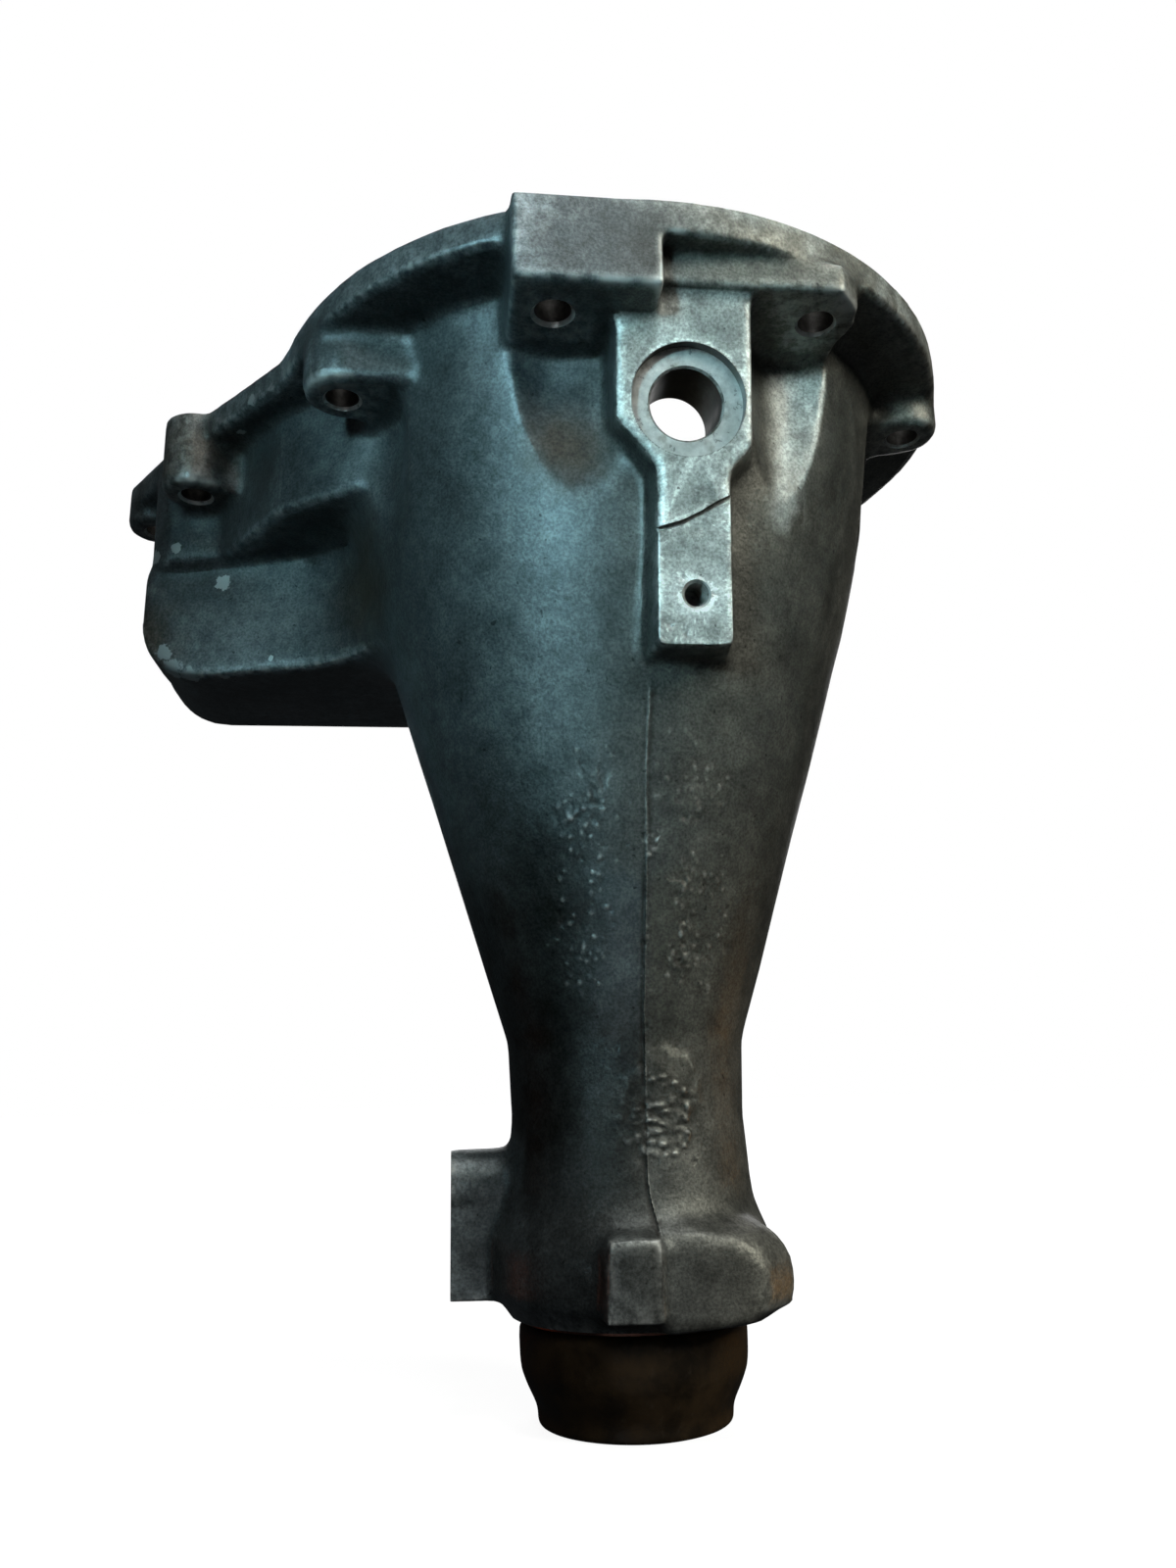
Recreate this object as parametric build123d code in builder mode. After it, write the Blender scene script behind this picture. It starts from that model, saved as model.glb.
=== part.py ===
from build123d import *
from math import atan2, cos, degrees, radians, sin
import os

os.makedirs("parts", exist_ok=True)

# Frame: the origin is the centre of the case face, +Z points into the case,
# the tail runs down to -Z, -Y is the side with the sensor bore, the pocket is at -X.

# flange, sized from the register bore outwards
REGISTER_R = 96.0
REGISTER_DEPTH = 5.0
REGISTER_LEDGE = 3.0
BOLT_CIRCLE_R = REGISTER_R + 14.3
FLANGE_R = BOLT_CIRCLE_R + 12.2
FLANGE_T = 10.0
BOLT_HOLE_R = 5.5
BOLT_CHAMFER = 1.0
BOSS_R = 12.5
SCALLOP_R = 21.5
SCALLOP_DEPTH = 70.0
BLOCK_LEFT_X = -43.4
BLOCK_RIGHT_X = 0.3
BLOCK_FRONT_Y = -(FLANGE_R - 0.5)
LEDGE_FRONT_Y = -(FLANGE_R - 9.0)

# bolts on the bolt circle: angle, level of the underside of the boss
BOLT_A = -150.0
BOLT_B = -106.0
BOLT_C = -61.5
BOLT_D = -17.5
BOLT_E = 26.5
BOLT_F = 70.5
BOLT_G = 114.5
DEEP_BOSS_Z = -27.6
SHORT_BOSS_Z = -20.0
# bolts on the pocket lobe
LOBE_BOLT_1 = (-155.8, 14.3)
LOBE_BOLT_2 = (-182.0, 69.0)
LOBE_BOLT_3 = (-128.0, 107.0)
LOBE_BOSS_Z = -28.0
LOBE_BOSS_2_Z = -17.0
LOBE_SCALLOP_2_R = 10.5
LOBE_SCALLOP_2_DEPTH = 80.0

# cone, neck and collar
CONE_WALL = 6.8
BULGE_WALL = 6.0
CONE_TOP_R = REGISTER_R + 6.5
NECK_R = 38.6
COLLAR_R = 45.5
COLLAR_HEIGHT = 22.5
TAIL_LENGTH = 318.0
TAIL_END_Z = -TAIL_LENGTH
COLLAR_TOP_Z = TAIL_END_Z + COLLAR_HEIGHT

# sliding yoke, bush and seal, from the yoke outwards
YOKE_R = 23.8
YOKE_CLEARANCE = 0.05
BUSH_WALL = 2.15
BUSH_LENGTH = 34.0
BUSH_IN_R = YOKE_R + YOKE_CLEARANCE
BUSH_BORE_R = BUSH_IN_R + BUSH_WALL
RELIEF_R = BUSH_BORE_R + 2.5
RELIEF_LENGTH = 7.0
NECK_IN_R = BUSH_BORE_R + 4.0
SEAL_BORE_R = BUSH_BORE_R + 7.0
SEAL_BORE_DEPTH = 15.0
SEAL_BORE_Z = TAIL_END_Z + SEAL_BORE_DEPTH
BUSH_LOW_Z = SEAL_BORE_Z + RELIEF_LENGTH
BUSH_TOP_Z = BUSH_LOW_Z + BUSH_LENGTH
CASE_WALL = 1.4
CASE_GAP = 1.0
CASE_FLANGE_T = 1.2
CASE_FLANGE_R = SEAL_BORE_R + 3.9
CASE_FLANGE_Z = TAIL_END_Z - CASE_FLANGE_T
CASE_IN_R = SEAL_BORE_R - 5.4
LIP_R = YOKE_R + 0.1
LIP_BASE = 2.4
LIP_HEIGHT = 9.4
LIP_EDGE_HEIGHT = 7.4
SPRING_WIRE_R = 0.75
SPRING_RING_R = LIP_R + 4.3
SPRING_HEIGHT = 7.2
BOOT_LENGTH = 30.8
BOOT_END_Z = CASE_FLANGE_Z - BOOT_LENGTH

# sensor boss
SENSOR_TILT = 11.0
SENSOR_OFFSET = 111.5
SENSOR_AT = (9.8, -31.5)
SENSOR_BORE_R = 11.0
SENSOR_BORE_LENGTH = 28.0
SENSOR_SLEEVE_R = SENSOR_BORE_R + 4.0
SENSOR_SEAT_R = 17.3
SENSOR_SEAT_DEPTH = 4.0
PAD_HOLE_AT = (12.0, -89.4)
PAD_HOLE_R = 3.4
PAD_HOLE_DEPTH = 14.0
PAD_STEP = 1.2
SENSOR_BOSS_DEPTH = 30.0
SENSOR_HEAD_DEPTH = 22.0
SENSOR_SLEEVE_START = 12.0
SENSOR_DRAFT = 8.0

# pocket
POCKET_TOP_Z = -48.5
POCKET_LOW_Z = -94.0
POCKET_CORNER_R = 24.0
POCKET_WALL = 6.5
POCKET_UPPER_Z = POCKET_TOP_Z + POCKET_WALL
POCKET_STEP_Z = POCKET_LOW_Z + 18.0
POCKET_FLOOR_Z = POCKET_LOW_Z + POCKET_WALL
POCKET_IN_R = CONE_TOP_R + 1.0

# pads on the collar
FRONT_PAD_Y = COLLAR_R + 5.5
SIDE_PAD_Y = COLLAR_R + 1.3
PAD_BASE_Y = COLLAR_R - 11.5
FRONT_PAD_DEPTH = 30.0
SIDE_PAD_DEPTH = 52.0
SIDE_PAD_DRAFT = 2.0

# rear mount boss
MOUNT_Z = COLLAR_TOP_Z + 18.7
MOUNT_R = 9.8
MOUNT_END_X = -58.5
MOUNT_HOLE_R = 5.1
MOUNT_HOLE_DEPTH = 20.0
WEB_WIDTH = 14.0
WEB_LOW_Z = TAIL_END_Z + 4.8
WEB_Y = 1.0
MOUNT_LENGTH = -MOUNT_END_X - NECK_IN_R - 5.0


def polar(r, a):
    return (r * cos(radians(a)), r * sin(radians(a)))


BOLTS_DEEP = [polar(BOLT_CIRCLE_R, a) for a in (BOLT_A, BOLT_B)]
BOLTS_SHORT = [polar(BOLT_CIRCLE_R, a) for a in (BOLT_C, BOLT_D, BOLT_E, BOLT_F, BOLT_G)]
BOLTS_LOBE = [LOBE_BOLT_1, LOBE_BOLT_2, LOBE_BOLT_3]
ALL_BOLTS = BOLTS_DEEP + BOLTS_SHORT + BOLTS_LOBE
# the scallop under the second bolt is widened by another circle beside it
WIDE_SCALLOP_AT = (BOLTS_DEEP[1][0] + 8.0, BOLTS_DEEP[1][1] - 1.0)

# outer and inner profile of the body of revolution: radius, level
CONE = [
    (94.8, -48.0),
    (83.3, -93.0),
    (70.6, -134.5),
    (NECK_R + 1.0, -234.0),
]
OUTER = [
    (0, 0),
    (CONE_TOP_R, 0),
    *CONE,
    (NECK_R, COLLAR_TOP_Z + 37.5),
    (NECK_R + 1.6, COLLAR_TOP_Z + 12.5),
    (COLLAR_R - 2.5, COLLAR_TOP_Z + 5.5),
    (COLLAR_R, COLLAR_TOP_Z),
    (COLLAR_R, TAIL_END_Z + 7.0),
    (COLLAR_R - 7.5, TAIL_END_Z),
    (0, TAIL_END_Z),
]
INNER = [
    (0, 1),
    (REGISTER_R, 1),
    (REGISTER_R, -REGISTER_DEPTH),
    (REGISTER_R - REGISTER_LEDGE, -REGISTER_DEPTH),
    *[(r - CONE_WALL, z) for r, z in CONE],
    (NECK_IN_R, BUSH_TOP_Z + 19.0),
    (NECK_IN_R, BUSH_TOP_Z),
    (BUSH_BORE_R, BUSH_TOP_Z),
    (BUSH_BORE_R, BUSH_LOW_Z),
    (RELIEF_R, BUSH_LOW_Z),
    (RELIEF_R, SEAL_BORE_Z),
    (SEAL_BORE_R, SEAL_BORE_Z),
    (SEAL_BORE_R, TAIL_END_Z - 1),
    (0, TAIL_END_Z - 1),
]

# plan outline of the flange plate over the pocket
LOBE = [
    (-60, -60),
    (-112, -48),
    (-119.5, -33),
    (-151, 2.8),
    (-167.5, 10),
    (-168.3, 20),
    (-173.0, 35),
    (-191.5, 61),
    (-194, 73),
    (-187, 82),
    (-138, 117),
    (-120, 119),
    (-50, 112),
    (-20, 60),
]
# plan outline of the wall under it, down to the step
WALL_PLAN = [
    (-60, -30),
    (-88, -37),
    (-102, -28),
    (-121, -14),
    (-136, 8),
    (-148, 25.5),
    (-170, 31),
    (-176.5, 38),
    (-178, 90),
    (-170, 96.5),
    (-60, 96.5),
    (-42, 70),
    (-20, 60),
]
# plan outline of the pocket box under the step
BOX_LEFT_X = -178.5
BOX_PLAN = [
    (-60, -30),
    (-80.5, -22),
    (-88.5, -4),
    (-95, 6),
    (-103, 13),
    (-113, 19.4),
    (BOX_LEFT_X, 37.6),
    (BOX_LEFT_X, 96.5),
    (-60, 96.5),
    (-42, 66),
    (-20, 40),
]
# hollow of the pocket: upper part, lower part, and its smaller floor
POCKET_PLAN = [
    (-104, 6),
    (-126, 10),
    (-141, 33),
    (-166, 42),
    (-166, 88),
    (-82, 88),
    (-60, 60),
]
POCKET_LOWER_PLAN = [
    (-95, 22),
    (-108, 26),
    (-141, 35),
    (-166, 42),
    (-166, 88),
    (-82, 88),
    (-60, 60),
]
POCKET_FLOOR_PLAN = [
    (-95, 26),
    (-108, 30),
    (-141, 38),
    (-157, 44),
    (-157, 86),
    (-82, 86),
    (-60, 60),
]
# outline of the pad on the right of the collar: its face, and where it meets the collar;
# x, and height above the top of the collar
PAD_FACE = [
    (2, 5.2),
    (13.3, 5.5),
    (24.3, 3.2),
    (30.3, 0),
    (32.9, -4.6),
    (33.5, -10.5),
    (32.9, -16.5),
    (26, -20),
    (2, -21),
]
PAD_BASE = [
    (2, 8),
    (18, 8),
    (33, 6.9),
    (40.5, 3),
    (44.5, -2.5),
    (45.3, -9.5),
    (44.8, -17),
    (34, -20.7),
    (2, -21.5),
]

# outline of the sensor boss and pad on their face plane, and the upper part of it alone
SENSOR_OUTLINE = [
    (-12.0, 6.5),
    (28.8, 6.5),
    (29.2, -44.6),
    (22.3, -52.5),
    (22.9, -104.4),
    (0.6, -104.6),
    (0.4, -51.3),
    (-12.0, -37.8),
]
SENSOR_HEAD = [
    (-12.0, 6.5),
    (28.8, 6.5),
    (29.2, -44.6),
    (22.3, -52.5),
    (22.3, -60.0),
    (0.4, -68.0),
    (0.4, -51.3),
    (-12.0, -37.8),
]
BOLT_LEVELS = (
    [DEEP_BOSS_Z] * len(BOLTS_DEEP)
    + [SHORT_BOSS_Z] * len(BOLTS_SHORT)
    + [LOBE_BOSS_Z, LOBE_BOSS_2_Z, LOBE_BOSS_Z]
)
# section of the dust boot: radius, level
BOOT = [
    (CASE_IN_R, CASE_FLANGE_Z),
    (CASE_FLANGE_R - 0.1, CASE_FLANGE_Z),
    (CASE_FLANGE_R - 0.4, CASE_FLANGE_Z - 13.8),
    (CASE_FLANGE_R - 2.3, CASE_FLANGE_Z - 18.8),
    (CASE_FLANGE_R - 5.0, BOOT_END_Z + 6.5),
    (CASE_FLANGE_R - 5.7, BOOT_END_Z + 4.0),
    (CASE_FLANGE_R - 5.9, BOOT_END_Z + 0.8),
    (CASE_FLANGE_R - 6.7, BOOT_END_Z),
    (YOKE_R + 2.7, BOOT_END_Z),
    (YOKE_R + 1.4, BOOT_END_Z + 1.6),
    (YOKE_R + 1.8, BOOT_END_Z + 3.4),
    (CASE_FLANGE_R - 8.3, BOOT_END_Z + 6.5),
    (CASE_FLANGE_R - 5.9, CASE_FLANGE_Z - 18.3),
    (CASE_FLANGE_R - 3.9, CASE_FLANGE_Z - 12.3),
    (CASE_FLANGE_R - 3.7, CASE_FLANGE_Z - 3.0),
    (CASE_IN_R, CASE_FLANGE_Z - 3.0),
]

# hollow of the cone with the bush bore and seal bore; it is drawn in behind each bolt
with BuildPart() as cone_hollow:
    with BuildSketch(Plane.XZ):
        with BuildLine():
            Polyline(*INNER, close=True)
        make_face()
    revolve(axis=Axis.Z)
    with BuildSketch(Plane.XY.offset(DEEP_BOSS_Z + BULGE_WALL)):
        with Locations(*BOLTS_DEEP, WIDE_SCALLOP_AT):
            Circle(SCALLOP_R + BULGE_WALL)
    extrude(amount=-SCALLOP_DEPTH, mode=Mode.SUBTRACT)
    with BuildSketch(Plane.XY.offset(SHORT_BOSS_Z + BULGE_WALL)):
        with Locations(*BOLTS_SHORT):
            Circle(SCALLOP_R + BULGE_WALL)
    extrude(amount=-SCALLOP_DEPTH, mode=Mode.SUBTRACT)

with BuildPart() as tail_housing:
    # cone, neck and collar
    with BuildSketch(Plane.XZ):
        with BuildLine():
            Polyline(*OUTER, close=True)
        make_face()
    revolve(axis=Axis.Z)
    # flange plate
    with BuildSketch(Plane.XY):
        Circle(FLANGE_R)
        with BuildLine():
            Polyline(*LOBE, close=True)
        make_face()
        with Locations(*BOLTS_LOBE):
            Circle(BOSS_R)
    extrude(amount=-FLANGE_T)
    # wall and box of the pocket
    with BuildSketch(Plane.XY.offset(-FLANGE_T)):
        with BuildLine():
            Polyline(*WALL_PLAN, close=True)
        make_face()
    extrude(amount=POCKET_TOP_Z + FLANGE_T)
    with BuildSketch(Plane.XY.offset(POCKET_TOP_Z)):
        with BuildLine():
            Polyline(*BOX_PLAN, close=True)
        make_face()
    extrude(amount=POCKET_LOW_Z - POCKET_TOP_Z)
    # the lower outer edge of the box is a big round
    corner = tail_housing.edges().filter_by(Axis.Y).filter_by_position(
        Axis.X, BOX_LEFT_X - 0.1, BOX_LEFT_X + 0.1
    ).filter_by_position(Axis.Z, POCKET_LOW_Z - 0.1, POCKET_LOW_Z + 0.1)
    fillet(corner, POCKET_CORNER_R)
    # bosses on the lobe
    with BuildSketch(Plane.XY.offset(-FLANGE_T)):
        with Locations(LOBE_BOLT_1, LOBE_BOLT_3):
            Circle(BOSS_R)
        with BuildLine():
            Polyline((-158, 3), (-146, 8), (-134, 12), (-136, 40), (-166, 40), close=True)
        make_face()
        with Locations((LOBE_BOLT_3[0], LOBE_BOLT_3[1] - 8)):
            Rectangle(2 * BOSS_R, 16)
    extrude(amount=LOBE_BOSS_Z + FLANGE_T)
    with BuildSketch(Plane.XY.offset(-FLANGE_T)):
        with Locations(LOBE_BOLT_2):
            Circle(BOSS_R)
        with Locations((LOBE_BOLT_2[0] + 8, LOBE_BOLT_2[1])):
            Rectangle(16, 2 * BOSS_R)
    extrude(amount=LOBE_BOSS_2_Z + FLANGE_T)
    # deep boss with a flat front, and the block on the rim
    with BuildSketch(Plane.XY.offset(-FLANGE_T)):
        with Locations(BOLTS_DEEP[0]):
            Circle(BOSS_R + 0.5)
        with BuildLine():
            Polyline((-95.5, -68.8), (-60, -68.8), (-60, -42), (-95.5, -42), close=True)
        make_face()
    extrude(amount=DEEP_BOSS_Z + FLANGE_T)
    with BuildSketch(Plane.XY):
        with BuildLine():
            Polyline(
                (BLOCK_LEFT_X, BLOCK_FRONT_Y),
                (BLOCK_RIGHT_X, BLOCK_FRONT_Y),
                (BLOCK_RIGHT_X, -80),
                (BLOCK_LEFT_X, -80),
                close=True,
            )
        make_face()
    extrude(amount=DEEP_BOSS_Z)
    # ledge beside the block, ending round the next bolt
    ledge_end = BOLTS_SHORT[0]
    with BuildSketch(Plane.XY.offset(-FLANGE_T)):
        with BuildLine():
            Polyline(
                (0, LEDGE_FRONT_Y),
                (ledge_end[0] + 4, LEDGE_FRONT_Y),
                (ledge_end[0] + 12, LEDGE_FRONT_Y + 9.5),
                (60, -60),
                (0, -60),
                close=True,
            )
        make_face()
        with Locations(ledge_end):
            Circle(BOSS_R)
    extrude(amount=SHORT_BOSS_Z + FLANGE_T)
    # short bosses joined to the cone
    for bolt in BOLTS_SHORT[1:]:
        turn = degrees(atan2(bolt[1], bolt[0]))
        with BuildSketch(Plane.XY.offset(-FLANGE_T)):
            with Locations(bolt):
                Circle(BOSS_R)
            with Locations(Location((bolt[0] * 0.9, bolt[1] * 0.9, 0), (0, 0, turn))):
                Rectangle(22, 2 * BOSS_R)
        extrude(amount=SHORT_BOSS_Z + FLANGE_T)
    # sensor boss and the long pad below it
    sensor_plane = Plane(
        origin=(0, -SENSOR_OFFSET * cos(radians(SENSOR_TILT)), -SENSOR_OFFSET * sin(radians(SENSOR_TILT))),
        x_dir=(1, 0, 0),
        z_dir=(0, -cos(radians(SENSOR_TILT)), -sin(radians(SENSOR_TILT))),
    )
    with BuildSketch(sensor_plane):
        with BuildLine():
            Polyline(*SENSOR_OUTLINE, close=True)
        make_face()
    extrude(amount=-SENSOR_BOSS_DEPTH, taper=-SENSOR_DRAFT)
    # the lower half of the pad is left a little lower
    with BuildSketch(sensor_plane):
        with BuildLine():
            Polyline((-6, -73), (0.4, -70.6), (22.3, -61.2), (30, -58), (30, -112), (-6, -112), close=True)
        make_face()
    extrude(amount=-PAD_STEP, mode=Mode.SUBTRACT)
    # collar pads
    collar_plane = Plane(origin=(0, 0, COLLAR_TOP_Z), x_dir=(1, 0, 0), z_dir=(0, -1, 0))
    with BuildSketch(collar_plane.offset(FRONT_PAD_Y)):
        with BuildLine():
            Polyline((-14.0, 5.0), (2.0, 5.0), (2.6, -18.5), (-15.6, -18.5), close=True)
        make_face()
    extrude(amount=-FRONT_PAD_DEPTH)
    with BuildSketch(collar_plane.offset(SIDE_PAD_Y)):
        with BuildLine():
            Polyline(*PAD_FACE, close=True)
        make_face()
    with BuildSketch(collar_plane.offset(PAD_BASE_Y)):
        with BuildLine():
            Polyline(*PAD_BASE, close=True)
        make_face()
    loft(ruled=True)
    with BuildSketch(collar_plane.offset(PAD_BASE_Y)):
        with BuildLine():
            Polyline(*PAD_BASE, close=True)
        make_face()
    extrude(amount=-SIDE_PAD_DEPTH, taper=SIDE_PAD_DRAFT)
    # mount boss and its web
    with BuildSketch(Plane.YZ.offset(MOUNT_END_X)):
        with Locations((0, MOUNT_Z)):
            Circle(MOUNT_R)
    extrude(amount=MOUNT_LENGTH)
    with BuildSketch(Plane.YZ.offset(MOUNT_END_X)):
        with Locations((WEB_Y, (MOUNT_Z + WEB_LOW_Z) / 2)):
            Rectangle(WEB_WIDTH, MOUNT_Z - WEB_LOW_Z)
    extrude(amount=MOUNT_LENGTH)
    # clearance for a socket under each boss
    for bolt in BOLTS_DEEP:
        with BuildSketch(Plane.XY.offset(DEEP_BOSS_Z)):
            with Locations(bolt):
                Circle(SCALLOP_R)
        extrude(amount=-SCALLOP_DEPTH, mode=Mode.SUBTRACT)
    with BuildSketch(Plane.XY.offset(DEEP_BOSS_Z)):
        with Locations(WIDE_SCALLOP_AT):
            Circle(SCALLOP_R)
    extrude(amount=-SCALLOP_DEPTH, mode=Mode.SUBTRACT)
    for bolt in BOLTS_SHORT:
        with BuildSketch(Plane.XY.offset(SHORT_BOSS_Z)):
            with Locations(bolt):
                Circle(SCALLOP_R)
        extrude(amount=-SCALLOP_DEPTH, mode=Mode.SUBTRACT)
    with BuildSketch(Plane.XY.offset(LOBE_BOSS_Z)):
        with Locations(LOBE_BOLT_1):
            Circle(BOSS_R)
    extrude(amount=-SCALLOP_DEPTH, mode=Mode.SUBTRACT)
    with BuildSketch(Plane.XY.offset(LOBE_BOSS_2_Z)):
        with Locations(LOBE_BOLT_2):
            Circle(LOBE_SCALLOP_2_R)
    extrude(amount=-LOBE_SCALLOP_2_DEPTH, mode=Mode.SUBTRACT)
    # sensor boss again over the clearance cuts, before the hollow is taken out
    with BuildSketch(sensor_plane.offset(-PAD_STEP)):
        with BuildLine():
            Polyline(*SENSOR_HEAD, close=True)
        make_face()
    extrude(amount=-SENSOR_HEAD_DEPTH, taper=-SENSOR_DRAFT)
    with BuildSketch(sensor_plane):
        with BuildLine():
            Polyline(*SENSOR_HEAD, close=True)
        make_face()
    extrude(amount=-PAD_STEP)
    # hollow of the cone
    add(cone_hollow.part, mode=Mode.SUBTRACT)
    # hollow of the pocket, open at the case face
    with BuildSketch(Plane.XY):
        with BuildLine():
            Polyline(*POCKET_PLAN, close=True)
        make_face()
        Circle(POCKET_IN_R, mode=Mode.SUBTRACT)
    extrude(amount=POCKET_UPPER_Z, mode=Mode.SUBTRACT)
    with BuildSketch(Plane.XY.offset(POCKET_UPPER_Z)):
        with BuildLine():
            Polyline(*POCKET_LOWER_PLAN, close=True)
        make_face()
        Circle(POCKET_IN_R, mode=Mode.SUBTRACT)
    extrude(amount=POCKET_STEP_Z - POCKET_UPPER_Z, mode=Mode.SUBTRACT)
    with BuildSketch(Plane.XY.offset(POCKET_STEP_Z)):
        with BuildLine():
            Polyline(*POCKET_FLOOR_PLAN, close=True)
        make_face()
        Circle(POCKET_IN_R, mode=Mode.SUBTRACT)
    extrude(amount=POCKET_FLOOR_Z - POCKET_STEP_Z, mode=Mode.SUBTRACT)
    # sleeve round the inner end of the sensor bore, then the bore and its seat
    with BuildSketch(sensor_plane.offset(-SENSOR_SLEEVE_START)):
        with Locations(SENSOR_AT):
            Circle(SENSOR_SLEEVE_R)
    extrude(amount=SENSOR_SLEEVE_START - SENSOR_BORE_LENGTH)
    with BuildSketch(sensor_plane.offset(1)):
        with Locations(SENSOR_AT):
            Circle(SENSOR_BORE_R)
    extrude(amount=-SENSOR_BORE_LENGTH - 12, mode=Mode.SUBTRACT)
    with BuildSketch(sensor_plane.offset(1)):
        with Locations(SENSOR_AT):
            Circle(SENSOR_SEAT_R)
    extrude(amount=-SENSOR_SEAT_DEPTH - 1, mode=Mode.SUBTRACT)
    with BuildSketch(sensor_plane.offset(1)):
        with Locations(PAD_HOLE_AT):
            Circle(PAD_HOLE_R)
    extrude(amount=-PAD_HOLE_DEPTH - 1, mode=Mode.SUBTRACT)
    # bolt holes
    for bolt, level in zip(ALL_BOLTS, BOLT_LEVELS):
        with BuildSketch(Plane.XY.offset(1)):
            with Locations(bolt):
                Circle(BOLT_HOLE_R)
        extrude(amount=level - 2, mode=Mode.SUBTRACT)
        with Locations((bolt[0], bolt[1], level)):
            Cone(
                BOLT_HOLE_R + BOLT_CHAMFER,
                BOLT_HOLE_R,
                BOLT_CHAMFER,
                align=(Align.CENTER, Align.CENTER, Align.MIN),
                mode=Mode.SUBTRACT,
            )
    # threaded hole of the mount boss
    with BuildSketch(Plane.YZ.offset(MOUNT_END_X)):
        with Locations((0, MOUNT_Z)):
            Circle(MOUNT_HOLE_R)
    extrude(amount=MOUNT_HOLE_DEPTH, mode=Mode.SUBTRACT)

# bush of the sliding yoke
with BuildPart() as yoke_bush:
    with BuildSketch(Plane.XY.offset(BUSH_TOP_Z)):
        Circle(BUSH_BORE_R)
        Circle(BUSH_IN_R, mode=Mode.SUBTRACT)
    extrude(amount=BUSH_LOW_Z - BUSH_TOP_Z)

# pressed steel case of the seal
with BuildPart() as seal_case:
    with BuildSketch(Plane.XZ):
        with BuildLine():
            Polyline(
                (SEAL_BORE_R - CASE_WALL, SEAL_BORE_Z - CASE_GAP),
                (SEAL_BORE_R, SEAL_BORE_Z - CASE_GAP),
                (SEAL_BORE_R, TAIL_END_Z),
                (CASE_FLANGE_R, TAIL_END_Z),
                (CASE_FLANGE_R, CASE_FLANGE_Z),
                (CASE_IN_R, CASE_FLANGE_Z),
                (CASE_IN_R, TAIL_END_Z),
                (SEAL_BORE_R - CASE_WALL, TAIL_END_Z),
                close=True,
            )
        make_face()
    revolve(axis=Axis.Z)

# rubber lip of the seal, on the inner face of the case
with BuildPart() as seal_lip:
    with BuildSketch(Plane.XZ):
        with BuildLine():
            Polyline(
                (SEAL_BORE_R - CASE_WALL, TAIL_END_Z),
                (SEAL_BORE_R - CASE_WALL, TAIL_END_Z + LIP_BASE),
                (LIP_R + 3.9, TAIL_END_Z + LIP_BASE),
                (LIP_R + 3.3, TAIL_END_Z + LIP_HEIGHT),
                (LIP_R + 1.3, TAIL_END_Z + LIP_HEIGHT + 0.4),
                (LIP_R, TAIL_END_Z + LIP_EDGE_HEIGHT),
                (LIP_R + 1.6, TAIL_END_Z + 2 * LIP_BASE),
                (LIP_R + 1.6, TAIL_END_Z),
                close=True,
            )
        make_face()
    revolve(axis=Axis.Z)

# closed coil spring round the lip, as one ring
with BuildPart() as lip_spring:
    with BuildSketch(Plane.XZ):
        with Locations((SPRING_RING_R, TAIL_END_Z + SPRING_HEIGHT)):
            Circle(SPRING_WIRE_R)
    revolve(axis=Axis.Z)

# rubber dust boot, bonded to the outer face of the case
with BuildPart() as dust_boot:
    with BuildSketch(Plane.XZ):
        with BuildLine():
            Polyline(*BOOT, close=True)
        make_face()
    revolve(axis=Axis.Z)

tail_housing.part.label = "tail_housing"
yoke_bush.part.label = "yoke_bush"
seal_case.part.label = "seal_case"
seal_lip.part.label = "seal_lip"
lip_spring.part.label = "lip_spring"
dust_boot.part.label = "dust_boot"

export_step(tail_housing.part, "parts/tail_housing.step")
export_step(yoke_bush.part, "parts/yoke_bush.step")
export_step(seal_case.part, "parts/seal_case.step")
export_step(seal_lip.part, "parts/seal_lip.step")
export_step(lip_spring.part, "parts/lip_spring.step")
export_step(dust_boot.part, "parts/dust_boot.step")
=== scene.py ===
import math
from functools import reduce

import bmesh
import bpy
import numpy as np
from mathutils import Matrix, Vector


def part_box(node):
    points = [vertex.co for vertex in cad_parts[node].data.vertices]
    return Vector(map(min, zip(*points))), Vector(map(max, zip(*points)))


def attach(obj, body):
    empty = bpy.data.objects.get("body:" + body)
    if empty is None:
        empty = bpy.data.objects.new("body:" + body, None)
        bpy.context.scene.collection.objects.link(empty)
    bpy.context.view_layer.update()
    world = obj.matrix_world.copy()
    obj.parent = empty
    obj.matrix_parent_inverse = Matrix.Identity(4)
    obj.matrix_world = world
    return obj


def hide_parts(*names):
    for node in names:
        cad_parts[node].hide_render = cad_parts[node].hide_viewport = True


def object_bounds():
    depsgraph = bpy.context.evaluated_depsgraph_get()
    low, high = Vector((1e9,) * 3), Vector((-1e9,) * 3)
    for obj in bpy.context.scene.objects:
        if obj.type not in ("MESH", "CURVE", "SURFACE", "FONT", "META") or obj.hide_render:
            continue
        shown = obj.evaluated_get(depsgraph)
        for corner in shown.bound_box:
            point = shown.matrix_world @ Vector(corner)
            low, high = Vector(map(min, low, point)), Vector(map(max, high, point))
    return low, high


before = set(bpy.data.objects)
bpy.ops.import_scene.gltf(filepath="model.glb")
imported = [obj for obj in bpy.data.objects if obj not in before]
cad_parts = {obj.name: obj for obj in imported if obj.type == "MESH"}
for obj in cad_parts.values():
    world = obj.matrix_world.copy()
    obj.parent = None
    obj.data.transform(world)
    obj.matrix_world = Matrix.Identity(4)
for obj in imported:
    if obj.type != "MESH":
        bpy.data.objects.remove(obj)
cad_low, cad_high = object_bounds()
MM = 0.001
rng = np.random.default_rng(5716)

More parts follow.
